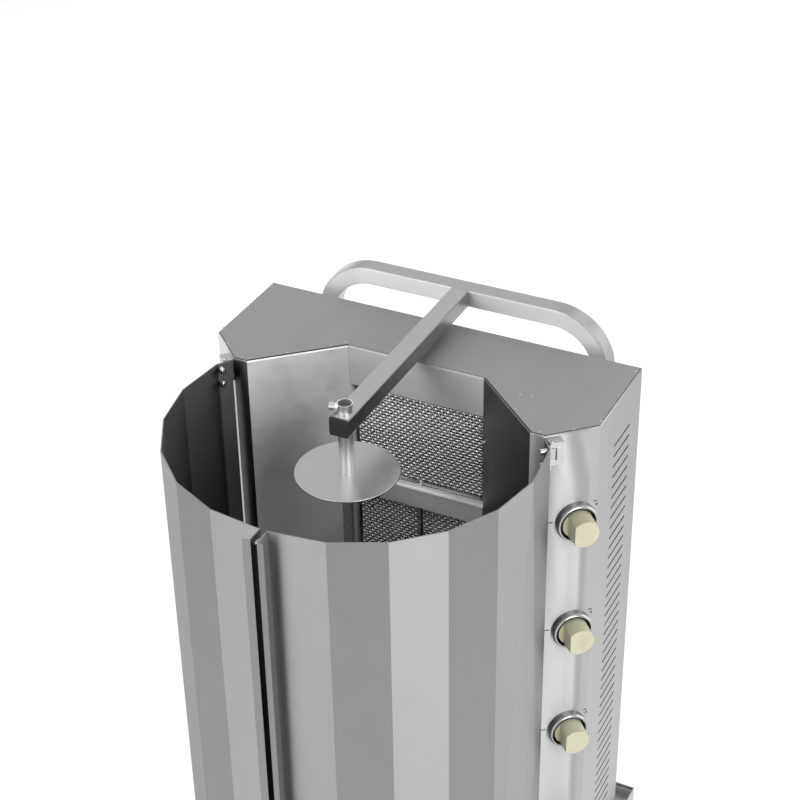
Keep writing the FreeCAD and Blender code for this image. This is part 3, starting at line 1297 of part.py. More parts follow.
inlet = new_body("gas_inlet")
neck = sketch_on(inlet, "XZ_Plane", (inlet_x, D.base_back - D.inlet_radius, D.manifold_low))
circle(neck, 0, 0, D.inlet_neck)
pad(inlet, neck, D.inlet_radius, reverse=True)
nipple = sketch_on(inlet, "XZ_Plane", (inlet_x, D.base_back, D.manifold_low))
circle(nipple, 0, 0, D.inlet_radius)
pad(inlet, nipple, D.inlet_reach, reverse=True)
nipple_nut = sketch_on(inlet, "XZ_Plane", (inlet_x, D.base_back, D.manifold_low))
circle(nipple_nut, 0, 0, D.inlet_flange)
pad(inlet, nipple_nut, D.inlet_radius / 2, reverse=True)
nipple_bore = sketch_on(inlet, "XZ_Plane", (inlet_x, D.base_back + D.inlet_reach, D.manifold_low))
circle(nipple_bore, 0, 0, D.manifold_radius - D.tray_sheet)
pocket(inlet, nipple_bore, D.inlet_reach, reverse=True)

pass_hole = sketch_on(tray, "XY_Plane", (corner_x, front_y, floor_z), turn=D.control_angle)
manifold_back = D.panel_sheet + D.valve_length + D.manifold_stand
circle(pass_hole, D.knob_along, manifold_back, D.manifold_radius + D.tray_sheet)
pocket(tray, pass_hole, D.tray_sheet)

# Hinge brackets on the control faces with their pins
hinge_heights = (cover_top - D.hinge_drop, D.hinge_low)


def side_turn(side, angle):
    """A turn about the vertical, mirrored for the left side."""
    return angle if side > 0 else as_size(180) - angle


brackets = new_body("hinge_brackets")
for word, side in SIDES:
    corner = (mirrored(side, corner_x), front_y)
    turn = side_turn(side, D.control_angle)
    out = -side
    for centre in hinge_heights:
        low = centre - D.hinge_height / 2
        base_plate = sketch_on(brackets, "XY_Plane", corner + (low,), turn=turn)
        rectangle(base_plate, D.hinge_cheek, ZERO, D.hinge_end, D.hinge_plate * out)
        pad(brackets, base_plate, D.hinge_height)
        for level in (low, centre + D.hinge_height / 2 - D.hinge_lug):
            lug = sketch_on(brackets, "XY_Plane", corner + (level,), turn=turn)
            rectangle(lug, D.hinge_along - D.hinge_cheek, ZERO,
                      D.hinge_end, (D.hinge_out + D.hinge_cheek) * out)
            circle(lug, D.hinge_along, D.hinge_out * out, D.pin_radius)
            pad(brackets, lug, D.hinge_lug)

pins = new_body("hinge_pins")
for word, side in SIDES:
    corner = (mirrored(side, corner_x), front_y)
    turn = side_turn(side, D.control_angle)
    for centre in hinge_heights:
        low = centre - D.hinge_height / 2 - D.pin_head
        pin = sketch_on(pins, "XY_Plane", corner + (low,), turn=turn)
        circle(pin, D.hinge_along, D.hinge_out * -side, D.pin_radius)
        pad(pins, pin, D.hinge_height + D.pin_head * 2)

# Doors bent in six facets, with a hinged rear flange and a gripping flange and lip at the front
door_top = cover_top - D.door_drop
door_height = door_top - D.door_bottom
pin_x = corner_x + D.hinge_along * cosine(D.control_angle) + D.hinge_out * sine(D.control_angle)
pin_y = front_y + D.hinge_along * sine(D.control_angle) - D.hinge_out * cosine(D.control_angle)
door_x = corner_x + D.door_gap_side
door_y = front_y - D.door_gap_front
# place of the hinge pin in the frame of the rear flange: along it and out of it
flange_way = -D.door_flange_angle
pin_along = (pin_x - door_x) * cosine(flange_way) + (pin_y - door_y) * sine(flange_way)
pin_out = (pin_y - door_y) * cosine(flange_way) - (pin_x - door_x) * sine(flange_way)
flange_run = (D.door_flange, flange_way)
facet_runs = [(D.door_facet, -(D.door_heading + D.door_bend * index)) for index in range(DOOR_FACETS)]
grip_run = (D.door_grip, as_size(-90))
lip_run = (D.door_lip, -D.door_lip_angle)
front_end = chain_point((door_x, door_y), [flange_run] + facet_runs)

for word, side in SIDES:
    door = new_body(f"{word}_door")
    start = (mirrored(side, door_x), door_y)
    runs = [(length, heading(side, way)) for length, way in [flange_run] + facet_runs + [grip_run, lip_run]]
    section = sketch_on(door, "XY_Plane", (0, 0, D.door_bottom))
    sheet_section(section, start, runs, D.door_sheet, -side)
    pad(door, section, door_height)
    flange_turn = heading(side, flange_way)
    holes = sketch_on(door, "XZ_Plane", start + (ZERO,), turn=flange_turn)
    middle_along = (D.strap_start + D.strap_end) / 2
    for centre in hinge_heights:
        for end in (-1, 1):
            circle(holes, middle_along, centre + D.stud_spread / 2 * end, D.stud_radius)
    pocket(door, holes, D.door_sheet * 4, middle=True)

    straps = new_body(f"{word}_door_hinges")
    for centre in hinge_heights:
        room = D.hinge_height - D.hinge_lug * 2 - D.hinge_play * 2
        low = centre - room / 2
        knuckle = start + (low,)
        web = sketch_on(straps, "XY_Plane", knuckle, turn=flange_turn)
        rectangle(web, pin_along - D.knuckle_radius / 2, ZERO, D.strap_end, D.strap_sheet * side)
        pad(straps, web, room)
        neck = sketch_on(straps, "XY_Plane", knuckle, turn=flange_turn)
        rectangle(neck, pin_along - D.knuckle_radius / 2, ZERO,
                  pin_along + D.knuckle_radius / 2, pin_out * side)
        pad(straps, neck, room)
        roll = sketch_on(straps, "XY_Plane", knuckle, turn=flange_turn)
        circle(roll, pin_along, pin_out * side, D.knuckle_radius)
        pad(straps, roll, room)
        eye = sketch_on(straps, "XY_Plane", start + (low + room,), turn=flange_turn)
        circle(eye, pin_along, pin_out * side, D.pin_radius + D.pin_play)
        pocket(straps, eye, room)
        leaf = sketch_on(straps, "XY_Plane", start + (centre - D.hinge_height / 2,), turn=flange_turn)
        rectangle(leaf, D.strap_start, ZERO, D.strap_end, D.strap_sheet * side)
        pad(straps, leaf, D.hinge_height)
    stud_holes = sketch_on(straps, "XZ_Plane", start + (ZERO,), turn=flange_turn)
    for centre in hinge_heights:
        for end in (-1, 1):
            circle(stud_holes, middle_along, centre + D.stud_spread / 2 * end, D.stud_radius)
    pocket(straps, stud_holes, D.strap_sheet * 3, middle=True)

    studs = new_body(f"{word}_door_studs")
    inward = side < 0
    shanks = sketch_on(studs, "XZ_Plane", start + (ZERO,), turn=flange_turn, lift=-D.strap_sheet * side)
    nuts = sketch_on(studs, "XZ_Plane", start + (ZERO,), turn=flange_turn, lift=D.door_sheet * side)
    for centre in hinge_heights:
        for end in (-1, 1):
            circle(shanks, middle_along, centre + D.stud_spread / 2 * end, D.stud_radius)
            circle(nuts, middle_along, centre + D.stud_spread / 2 * end, D.nut_radius)
    pad(studs, shanks, D.strap_sheet + D.door_sheet, reverse=inward)
    pad(studs, nuts, D.nut_height, reverse=inward)

bumper = new_body("door_bumper")
bumper_y = front_end[1] - D.door_grip / 2
bumper_z = door_top - D.bumper_drop
bumper_face = -front_end[0] + D.door_sheet
stop = sketch_on(bumper, "YZ_Plane", (bumper_face, bumper_y, bumper_z))
circle(stop, 0, 0, D.bumper_radius)
pad(bumper, stop, D.bumper_height)
nut = sketch_on(bumper, "YZ_Plane", (-front_end[0], bumper_y, bumper_z))
circle(nut, 0, 0, D.bumper_radius)
pad(bumper, nut, D.bumper_height, reverse=True)
neck = sketch_on(bumper, "YZ_Plane", (-front_end[0], bumper_y, bumper_z))
circle(neck, 0, 0, D.stud_radius)
pad(bumper, neck, D.door_sheet)
left_door = [part for part in PARTS if part.Label == "left_door"][0]
stop_hole = sketch_on(left_door, "YZ_Plane", (-front_end[0], bumper_y, bumper_z))
circle(stop_hole, 0, 0, D.stud_radius)
pocket(left_door, stop_hole, D.door_sheet * 3, middle=True)

# Every object is checked before a file is written
doc.recompute()
faults = []
for item in doc.Objects:
    if "Invalid" in item.State or "Error" in item.State:
        faults.append(f"{item.Label}: {item.State} {item.getStatusString()}")
for part in PARTS:
    if part.Shape.isNull() or not part.Shape.isValid() or not part.Shape.Solids:
        faults.append(f"{part.Label}: no valid solid")
if faults:
    raise RuntimeError("; ".join(faults))
os.makedirs("parts", exist_ok=True)
for part in PARTS:
    part.Shape.exportStep(os.path.join("parts", f"{part.Label}.step"))
    print(part.Label, len(part.Shape.Solids), round(part.Shape.Volume / 1000, 1))
print(len(PARTS), "nodes")
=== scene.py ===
"""Looks of a four-burner gas doner kebab grill with a ring of folded steel doors.

Each sub-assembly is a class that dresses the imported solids, or builds the finer
piece that stands for one. Lengths are in metres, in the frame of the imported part:
the floor is z = 0, the doors face -Y, and the spit stands at x = 0, y = -0.06.
"""

import json
import logging
import math
from dataclasses import dataclass
from enum import Enum
from typing import Callable, ClassVar, Iterable, Sequence

import bmesh
import bpy
from mathutils import Matrix, Vector


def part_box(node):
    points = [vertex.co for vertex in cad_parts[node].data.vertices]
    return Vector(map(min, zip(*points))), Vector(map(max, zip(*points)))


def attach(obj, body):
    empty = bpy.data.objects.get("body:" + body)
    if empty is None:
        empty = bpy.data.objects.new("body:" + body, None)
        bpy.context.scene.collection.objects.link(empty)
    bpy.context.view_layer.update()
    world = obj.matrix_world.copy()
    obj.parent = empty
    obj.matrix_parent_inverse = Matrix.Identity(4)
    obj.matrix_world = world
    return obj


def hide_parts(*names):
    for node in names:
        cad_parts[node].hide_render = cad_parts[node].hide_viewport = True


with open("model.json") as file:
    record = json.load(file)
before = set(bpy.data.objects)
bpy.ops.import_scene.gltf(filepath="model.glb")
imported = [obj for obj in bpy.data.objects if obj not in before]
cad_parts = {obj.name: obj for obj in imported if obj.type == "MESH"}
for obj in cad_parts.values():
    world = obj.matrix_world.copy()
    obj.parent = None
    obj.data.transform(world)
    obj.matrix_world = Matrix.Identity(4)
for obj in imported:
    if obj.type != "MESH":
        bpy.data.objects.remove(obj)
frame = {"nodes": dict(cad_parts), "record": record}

LOG = logging.getLogger("grill")
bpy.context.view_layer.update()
Colour = tuple[float, float, float]
Point = tuple[float, float, float]
FaceTest = Callable[[Vector, Vector], bool]
Node = bpy.types.Node
Socket = bpy.types.NodeSocket
Shape = bmesh.types.BMesh
Mesh = bpy.types.Mesh
Piece = bpy.types.Object

# Name of the face mark for painted shade: faces that carry it get a darker tone.
PAINTED_SHADE = "painted_shade"
ROWS = 4
ROW_PITCH = 0.191

# Angles in degrees up to which faces join smoothly
WOVEN = 60.0
SMALL = 50.0
FOLDED = 40.0
TURNED = 35.0
DRAWN = 30.0

BODY_OF: dict[str, str] = {
    node: body
    for body, nodes in frame["record"]["behaviour"]["bodies"].items()
    for node in nodes
}
SLOT_OF: dict[str, str] = {
    part["node"]: part["material_slot"] for part in frame["record"]["subparts"]
}


def link(name: str, data: bpy.types.ID) -> Piece:
    """Make an object of some data and put it in the scene.

    Args:
        name: The object's name.
        data: Its mesh, camera or lamp.

    Returns:
        The object.
    """
    made = bpy.data.objects.new(name, data)
    bpy.context.scene.collection.objects.link(made)
    return made


def grey(value: float) -> Colour:
    """Return a colour without a hue."""
    return (value, value, value)


def shade(tone: Colour, factor: float) -> Colour:
    """Return a colour made lighter or darker, held at full light."""
    return tuple(min(1.0, factor * channel) for channel in tone)


def around(sides: int) -> list[tuple[float, float]]:
    """Return cosine and sine of evenly spaced angles, once round."""
    return [(math.cos(math.tau * k / sides), math.sin(math.tau * k / sides)) for k in range(sides)]


# Shader tools


class Grain(Enum):
    """Direction of a brushed sheet's lines, as the scale of its pattern along x, y and z."""

    UPRIGHT = (620.0, 620.0, 9.0)
    ACROSS = (9.0, 620.0, 620.0)
    DEEP = (620.0, 9.0, 620.0)
    EVEN = (420.0, 420.0, 420.0)


class Shader:
    """A short way to add and join nodes in one shader or geometry tree."""

    def __init__(self, tree: bpy.types.NodeTree) -> None:
        """Keep the tree of a material, a group or a modifier, to which nodes are added."""
        self.tree = tree
        self.column = 0

    def add(self, kind: str, inputs: dict[str | int, object] | None = None, **settings: object) -> Node:
        """Add a node.

        Args:
            kind: Node type, such as "ShaderNodeMath".
            inputs: Sockets or plain values for its inputs, by name or number.
            settings: Properties of the node, by name.

        Returns:
            The new node, placed to the right of the last one.
        """
        node = self.tree.nodes.new(kind)
        for name, value in settings.items():
            setattr(node, name, value)
        for name, value in (inputs or {}).items():
            self.feed(value, node.inputs[name])
        node.location = (self.column * 190, -(self.column % 4) * 120)
        self.column += 1
        return node

    def feed(self, value: object, target: Socket) -> None:
        """Set an input, or join an output to it.

        Args:
            value: A socket to join, a plain value, or red, green and blue.
            target: The input.
        """
        if isinstance(value, Socket):
            self.tree.links.new(value, target)
        elif target.type == "RGBA":
            target.default_value = (*value, 1.0)
        else:
            target.default_value = value

    def calculate(self, operation: str, *values: object, clamp: bool = False) -> Socket:
        """Return the result of a Math node on sockets or numbers, clamped to 0 and 1 if asked."""
        operands = dict(enumerate(values))
        return self.add("ShaderNodeMath", operands, operation=operation, use_clamp=clamp).outputs[0]

    def times(self, first: object, second: object) -> Socket:
        """Return the product of two sockets or numbers."""
        return self.calculate("MULTIPLY", first, second)

    def plus(self, first: object, second: object) -> Socket:
        """Return the sum of two sockets or numbers."""
        return self.calculate("ADD", first, second)

    def minus(self, first: object, second: object) -> Socket:
        """Return the difference of two sockets or numbers."""
        return self.calculate("SUBTRACT", first, second)

    def spread(self, value: object, low: object, high: object, start: float = 0.0,
               end: float = 1.0) -> Socket:
        """Return a value, from low where it is at the start of its range to high at the end."""
        return self.add("ShaderNodeMapRange", {"Value": value, "From Min": start, "From Max": end,
                                               "To Min": low, "To Max": high}).outputs[0]

    def blend(self, mask: object, first: object, second: object) -> Socket:
        """Return two colours mixed, where the mask is the share of the second one."""
        return self.add("ShaderNodeMix", {0: mask, 6: first, 7: second}, data_type="RGBA").outputs[2]

    def noise(self, vector: object, scale: float, detail: float = 2.0, roughness: float = 0.5) -> Socket:
        """Return a noise pattern from 0 to 1: its detail counts finer octaves, as strong as rough."""
        return self.add("ShaderNodeTexNoise", {"Vector": vector, "Scale": scale, "Detail": detail,
                                               "Roughness": roughness}).outputs[0]

    def objectwise(self) -> Socket:
        """Return the place of a point on its object."""
        return self.add("ShaderNodeTexCoord").outputs["Object"]

    def scaled(self, vector: object, scale: Sequence[float]) -> Socket:
        """Scale a vector by factors along x, y and z."""
        return self.add("ShaderNodeMapping", {"Vector": vector, "Scale": scale}).outputs[0]


Fill = Callable[[Shader, Socket, Socket], tuple[Socket, ...]]


@dataclass
class Effect:
    """A shader node group that several finishes share, built at its first use."""

    name: str
    fill: Fill
    outputs: Sequence[str] = ("Mask",)
    tree: bpy.types.NodeTree | None = None

    def build(self) -> None:
        """Build the group, with a vector and an amount as its inputs."""
        self.tree = bpy.data.node_groups.new(self.name, "ShaderNodeTree")
        face = self.tree.interface
        face.new_socket("Vector", in_out="INPUT", socket_type="NodeSocketVector")
        face.new_socket("Amount", in_out="INPUT", socket_type="NodeSocketFloat")
        for label in self.outputs:
            face.new_socket(label, in_out="OUTPUT", socket_type="NodeSocketFloat")
        shader = Shader(self.tree)
        entry, leave = shader.add("NodeGroupInput"), shader.add("NodeGroupOutput")
        results = self.fill(shader, entry.outputs["Vector"], entry.outputs["Amount"])
        for label, result in zip(self.outputs, results):
            shader.feed(result, leave.inputs[label])

    def place(self, shader: Shader, vector: Socket, amount: float) -> dict[str, Socket]:
        """Place the group in a material.

        Args:
            shader: The material's tree.
            vector: Where the pattern is read.
            amount: Its strength.

        Returns:
            Its outputs by name.
        """
        if self.tree is None:
            self.build()
        node = shader.add("ShaderNodeGroup", {"Vector": vector, "Amount": amount}, node_tree=self.tree)
        return {socket.name: socket for socket in node.outputs}


def brushed_lines(shader: Shader, vector: Socket, amount: Socket) -> tuple[Socket, ...]:
    """Fill the group for brushed lines: long streaks with fine scratches.

    Args:
        shader: The group's tree.
        vector: Where the pattern is read.
        amount: Contrast of the shade.

    Returns:
        The shade and the height.
    """
    fine = shader.noise(vector, 1.0, 3.0, 0.6)
    broad = shader.noise(shader.scaled(vector, grey(0.11)), 1.0, 2.0)
    lines = shader.plus(shader.times(fine, 0.62), shader.times(broad, 0.38))
    centred = shader.times(shader.minus(lines, 0.5), amount)
    return shader.calculate("ADD", centred, 0.5, clamp=True), lines


def handled_patches(shader: Shader, vector: Socket, amount: Socket) -> tuple[Socket, ...]:
    """Fill the group for smudges left by hands and cloths, as soft uneven patches.

    Args:
        shader: The group's tree.
        vector: Where the pattern is read.
        amount: Its strength.

    Returns:
        The mask.
    """
    patches = shader.noise(vector, 7.0, 4.0, 0.62)
    wipes = shader.noise(shader.scaled(vector, (26.0, 5.0, 9.0)), 1.0, 3.0)
    mask = shader.spread(shader.times(patches, wipes), 0.0, 1.0, start=0.16, end=0.42)
    return (shader.times(mask, amount),)


def edge_wear_and_highlight(shader: Shader, vector: Socket, amount: Socket) -> tuple[Socket, ...]:
    """Fill the group for a mask along edges: brushed steel uses it for a painted highlight, plastic and
    paint for worn edges, and plating for bright edges.

    Args:
        shader: The group's tree.
        vector: Where the pattern is read.
        amount: Its strength.

    Returns:
        The mask.
    """
    rounded = shader.add("ShaderNodeBevel", {"Radius": 0.0012}, samples=3)
    flat = shader.add("ShaderNodeNewGeometry")
    agree = shader.add("ShaderNodeVectorMath", {0: rounded.outputs[0], 1: flat.outputs["Normal"]},
                       operation="DOT_PRODUCT")
    edge = shader.spread(agree.outputs["Value"], 1.0, 0.0, start=0.80, end=0.985)
    patchy = shader.spread(shader.noise(vector, 160.0, 2.0), 0.25, 1.0, start=0.38, end=0.62)
    return (shader.times(shader.times(edge, patchy), amount),)


def settled_dust(shader: Shader, vector: Socket, amount: Socket) -> tuple[Socket, ...]:
    """Fill the group for dust and crumbs that settle on faces that look up.

    Args:
        shader: The group's tree.
        vector: Where the pattern is read.
        amount: Its strength.

    Returns:
        The mask.
    """
    flat = shader.add("ShaderNodeNewGeometry")
    parts = shader.add("ShaderNodeSeparateXYZ", {0: flat.outputs["Normal"]})
    upward = shader.spread(parts.outputs["Z"], 0.0, 1.0, start=0.55, end=0.95)
    specks = shader.spread(shader.noise(vector, 38.0, 5.0, 0.7), 0.0, 1.0, start=0.44, end=0.72)
    return (shader.times(shader.times(upward, specks), amount),)


def heat_bloom(shader: Shader, vector: Socket, amount: Socket) -> tuple[Socket, ...]:
    """Fill the group for bands of colour that heat draws on bare steel.

    Args:
        shader: The group's tree.
        vector: Where the pattern is read.
        amount: Its strength.

    Returns:
        The masks of the straw-yellow and of the blue band.
    """
    drift = shader.noise(vector, 14.0, 3.0, 0.55)
    bands = (shader.spread(drift, 0.0, 1.0, start, end) for start, end in ((0.40, 0.58), (0.58, 0.74)))
    return tuple(shader.times(band, amount) for band in bands)


BRUSHED = Effect("brushed_lines", brushed_lines, ("Shade", "Height"))
HANDLED = Effect("handled_patches", handled_patches)
EDGE_WEAR_AND_HIGHLIGHT = Effect("edge_wear_and_highlight", edge_wear_and_highlight)
DUSTY = Effect("settled_dust", settled_dust)
HEATED = Effect("heat_bloom", heat_bloom, ("Straw", "Blue"))


# Finishes


@dataclass(frozen=True)
class Finish:
    """A surface finish that makes one procedural material."""

    name: str

    known: ClassVar[dict[str, bpy.types.Material]] = {}

    def material(self) -> bpy.types.Material:
        """Return the finish's material, made at the first call.

        Returns:
            The material.
        """
        if self.name not in Finish.known:
            made = bpy.data.materials.new(f"finish_{self.name}")
            made.use_nodes = True
            surface = next(node for node in made.node_tree.nodes if node.type == "BSDF_PRINCIPLED")
            self.paint(Shader(made.node_tree), surface)
            Finish.known[self.name] = made
        return Finish.known[self.name]

    def paint(self, shader: Shader, surface: Node) -> None:
        """Join the finish's patterns to its shader. Each kind of finish has its own.

        Args:
            shader: The material's tree.
            surface: Its shader node.
        """
        raise NotImplementedError

    @staticmethod
    def lay(shader: Shader, surface: Node, colour: Socket, rough: Socket, height: Socket,
            depth: float, strength: float = 0.5) -> None:
        """Join colour, roughness and relief to a surface.

        Args:
            shader: The material's tree.
            surface: Its shader node.
            colour: The colour.
            rough: The roughness.
            height: The height pattern.
            depth: Height of the pattern, in metres.
            strength: How much of it is used.
        """
        bump = shader.add("ShaderNodeBump", {"Distance": depth, "Strength": strength, "Height": height})
        for source, target in ((colour, "Base Color"), (rough, "Roughness"), (bump.outputs[0], "Normal")):
            shader.feed(source, surface.inputs[target])


@dataclass(frozen=True)
class BrushedSteel(Finish):
    """Stainless sheet or tube with brushed lines and smudges, a painted highlight along its edges, and
    painted shade on chosen faces.
    """

    tone: float = 0.5
    roughness: float = 0.34
    grain: Grain = Grain.ACROSS
    contrast: float = 0.05
    smudge: float = 0.5
    # Strength of the painted highlight along edges.
    edge_highlight: float = 0.0
    dust: float = 0.0
    heat: float = 0.0
    drawn: Point | None = None
    depth: float = 0.00004
    # Share of the tone kept on faces where shade is painted, 1 for none.
    painted_shade: float = 1.0

    palest: ClassVar[float] = 0.97
    line_shade: ClassVar[float] = 2.4
    rough_span: ClassVar[float] = 0.06
    smudge_share: ClassVar[float] = 0.45
    smudge_tone: ClassVar[float] = 0.90
    smudge_rough: ClassVar[float] = 0.09
    dust_rough: ClassVar[float] = 0.25
    stretch: ClassVar[float] = 0.9
    relief: ClassVar[float] = 0.6
    # Colour of the painted edge highlight.
    highlight_tone: ClassVar[Colour] = (0.86, 0.86, 0.86)
    crumbs: ClassVar[Colour] = (0.42, 0.40, 0.37)
    heat_tints: ClassVar[dict[str, Colour]] = {"Straw": (0.9, 0.74, 0.46), "Blue": (0.48, 0.44, 0.55)}

    def paint(self, shader: Shader, surface: Node) -> None:
        """Join the brushed lines, smudges, painted edge highlight, dust, heat colours and painted shade.

        Args:
            shader: The material's tree.
            surface: Its shader node.
        """
        place = shader.objectwise()
        lines = BRUSHED.place(shader, shader.scaled(place, self.grain.value), self.line_shade)
        hands = HANDLED.place(shader, place, self.smudge)["Mask"]
        colour = shader.blend(lines["Shade"], grey(self.tone * (1.0 - self.contrast)),
                              grey(min(self.palest, self.tone * (1.0 + self.contrast))))
        greasy = grey(self.tone * self.smudge_tone)
        colour = shader.blend(shader.times(hands, self.smudge_share), colour, greasy)
        streaks = shader.spread(lines["Shade"], self.roughness - self.rough_span,
                                self.roughness + self.rough_span)
        rough = shader.plus(streaks, shader.times(hands, self.smudge_rough))
        if self.heat:
            bloom = HEATED.place(shader, place, self.heat)
            for band, tint in self.heat_tints.items():
                colour = shader.blend(bloom[band], colour, shade(tint, self.tone))
        # Painted highlight: edges are lightened to stand for the light caught along them.
        if self.edge_highlight:
            colour = shader.blend(EDGE_WEAR_AND_HIGHLIGHT.place(shader, place, self.edge_highlight)["Mask"], colour, self.highlight_tone)
        if self.dust:
            specks = DUSTY.place(shader, place, self.dust)["Mask"]
            colour = shader.blend(specks, colour, self.crumbs)
            rough = shader.plus(rough, shader.times(specks, self.dust_rough))
        # Painted shade: faces that carry the mark are darkened to stand for the shade that falls on them.
        if self.painted_shade < 1.0:
            marked = shader.add("ShaderNodeAttribute", attribute_name=PAINTED_SHADE)
            colour = shader.blend(marked.outputs["Fac"], colour, grey(self.tone * self.painted_shade))
        surface.inputs["Metallic"].default_value = 1.0
        if self.drawn is not None:
            surface.inputs["Anisotropic"].default_value = self.stretch
            across = shader.add("ShaderNodeCombineXYZ", dict(enumerate(self.drawn)))
            shader.feed(across.outputs[0], surface.inputs["Tangent"])
        self.lay(shader, surface, colour, rough, lines["Height"], self.depth, self.relief)


@dataclass(frozen=True)
class Plating(Finish):
    """Bright plated or polished metal with fine swirls and faint water marks."""

    tone: Colour = (0.72, 0.72, 0.72)
    roughness: float = 0.12

    def paint(self, shader: Shader, surface: Node) -> None:
        """Join the swirls, marks and bright edges.

        Args:
            shader: The material's tree.
            surface: Its shader node.
        """
        place = shader.objectwise()
        swirls = shader.noise(place, 900.0, 2.0)
        hands = HANDLED.place(shader, place, 0.8)["Mask"]
        colour = shader.blend(hands, self.tone, shade(self.tone, 0.82))
        colour = shader.blend(EDGE_WEAR_AND_HIGHLIGHT.place(shader, place, 0.5)["Mask"], colour, grey(0.90))
        rough = shader.plus(shader.spread(swirls, self.roughness - 0.03, self.roughness + 0.05),
                            shader.times(hands, 0.10))
        surface.inputs["Metallic"].default_value = 1.0
        self.lay(shader, surface, colour, rough, swirls, 0.00001)


@dataclass(frozen=True)
class Moulding(Finish):
    """Moulded plastic, rubber or porcelain with a fine texture, worn edges and grime."""

    tone: Colour = (0.02, 0.02, 0.02)
    worn: Colour = (0.10, 0.10, 0.10)
    grime: Colour = (0.05, 0.045, 0.04)
    roughness: float = 0.45
    texture: float = 1500.0
    depth: float = 0.00004

    def paint(self, shader: Shader, surface: Node) -> None:
        """Join the fine texture, the cloudy tone, the worn edges and the grime.

        Args:
            shader: The material's tree.
            surface: Its shader node.
        """
        place = shader.objectwise()
        sparks = shader.noise(place, self.texture, 2.0)
        cloud = shader.noise(place, 45.0, 3.0)
        hands = HANDLED.place(shader, shader.scaled(place, grey(2.5)), 0.55)["Mask"]
        colour = shader.blend(cloud, shade(self.tone, 0.90), shade(self.tone, 1.08))
        colour = shader.blend(hands, colour, self.grime)
        colour = shader.blend(EDGE_WEAR_AND_HIGHLIGHT.place(shader, place, 0.55)["Mask"], colour, self.worn)
        rough = shader.plus(shader.spread(sparks, self.roughness - 0.05, self.roughness + 0.07),
                            shader.times(hands, -0.08))
        self.lay(shader, surface, colour, rough, sparks, self.depth)


@dataclass(frozen=True)
class FiredCeramic(Finish):
    """Burner tile of fired ceramic, drilled with close rows of flame ports, with painted shade: a tone
    darkened for the shade behind the wire frames, and ports painted dark.
    """

    # Tone darkened as painted shade behind the wire frames.
    tone: Colour = (0.034, 0.032, 0.030)
    port_shade: Colour = (0.012, 0.010, 0.009)
    port_pitch: float = 0.0029

    def paint(self, shader: Shader, surface: Node) -> None:
        """Join the rows of ports painted dark as the shade in the holes, the powdery tone and the scorched
        patches.

        Args:
            shader: The material's tree.
            surface: Its shader node.
        """
        place = shader.objectwise()
        pitch = 1.0 / self.port_pitch
        rows = shader.scaled(place, (pitch, 0.0, pitch))
        dots = shader.add("ShaderNodeTexVoronoi", {"Vector": rows, "Scale": 1.0, "Randomness": 0.0},
                          feature="F1")
        port = shader.spread(dots.outputs["Distance"], 1.0, 0.0, start=0.22, end=0.34)
        powder = shader.noise(place, 700.0, 4.0, 0.7)
        scorch = shader.spread(shader.noise(place, 22.0, 3.0), 0.0, 0.7, start=0.45, end=0.75)
        colour = shader.blend(powder, shade(self.tone, 0.85), shade(self.tone, 1.15))
        colour = shader.blend(scorch, colour, shade(self.tone, 0.6))
        # Painted shade: the ports are darkened for the shade in each hole.
        colour = shader.blend(port, colour, self.port_shade)
        height = shader.minus(shader.times(powder, 0.2), port)
        self.lay(shader, surface, colour, shader.spread(powder, 0.82, 0.96), height, 0.0006, 0.7)


@dataclass(frozen=True)
class CastCoat(Finish):
    """Sprayed paint over a casting: orange-peel skin, chips at the edges, dust on top."""

    tone: Colour = (0.16, 0.17, 0.18)
    bare: Colour = (0.42, 0.40, 0.37)
    settled: Colour = (0.35, 0.33, 0.30)

    def paint(self, shader: Shader, surface: Node) -> None:
        """Join the skin, the chips and the dust.

        Args:
            shader: The material's tree.
            surface: Its shader node.
        """
        place = shader.objectwise()
        peel = shader.noise(place, 420.0, 2.0)
        cast = shader.noise(place, 90.0, 4.0)
        colour = shader.blend(cast, shade(self.tone, 0.9), shade(self.tone, 1.1))
        colour = shader.blend(EDGE_WEAR_AND_HIGHLIGHT.place(shader, place, 0.8)["Mask"], colour, self.bare)
        colour = shader.blend(DUSTY.place(shader, place, 0.6)["Mask"], colour, self.settled)
        self.lay(shader, surface, colour, shader.spread(peel, 0.36, 0.5), shader.plus(peel, cast), 0.00012)


@dataclass(frozen=True)
class PrintedInk(Finish):
    """Screen-printed black ink, a little thin in places."""

    full: float = 0.012
    sparse: float = 0.035

    def paint(self, shader: Shader, surface: Node) -> None:
        """Join the ink's uneven cover.

        Args:
            shader: The material's tree.
            surface: Its shader node.
        """
        thin = shader.noise(shader.objectwise(), 800.0, 3.0)
        colour = shader.blend(thin, grey(self.full), grey(self.sparse))
        self.lay(shader, surface, colour, shader.spread(thin, 0.42, 0.6), thin, 0.00001, 0.4)


@dataclass(frozen=True)
class PaleFloor(Finish):
    """Seamless pale studio floor that shows white to the camera but keeps shadows."""

    tone: float = 0.86
    lift: float = 0.50

    def paint(self, shader: Shader, surface: Node) -> None:
        """Join a faint paper grain, and the lift that camera and mirror rays see.

        Args:
            shader: The material's tree.
            surface: Its shader node.
        """
        paper = shader.noise(shader.objectwise(), 60.0, 3.0)
        colour = shader.blend(paper, grey(self.tone - 0.01), grey(self.tone + 0.01))
        for name, value in (("Base Color", colour), ("Roughness", 0.9), ("Specular IOR Level", 0.1),
                            ("Emission Strength", self.lift), ("Emission Color", seen_rays(shader))):
            shader.feed(value, surface.inputs[name])


def seen_rays(shader: Shader) -> Socket:
    """Return 1 on camera, mirror and transmission rays, else 0.

    Args:
        shader: The material or world tree.

    Returns:
        The mask.
    """
    rays = shader.add("ShaderNodeLightPath").outputs
    seen = shader.calculate("MAXIMUM", rays["Is Camera Ray"], rays["Is Glossy Ray"])
    return shader.calculate("MAXIMUM", seen, rays["Is Transmission Ray"])


UPRIGHT_SPREAD = (0.0, 0.0, 1.0)
SLOPED_SPREAD = (0.0, 0.7, 0.7)
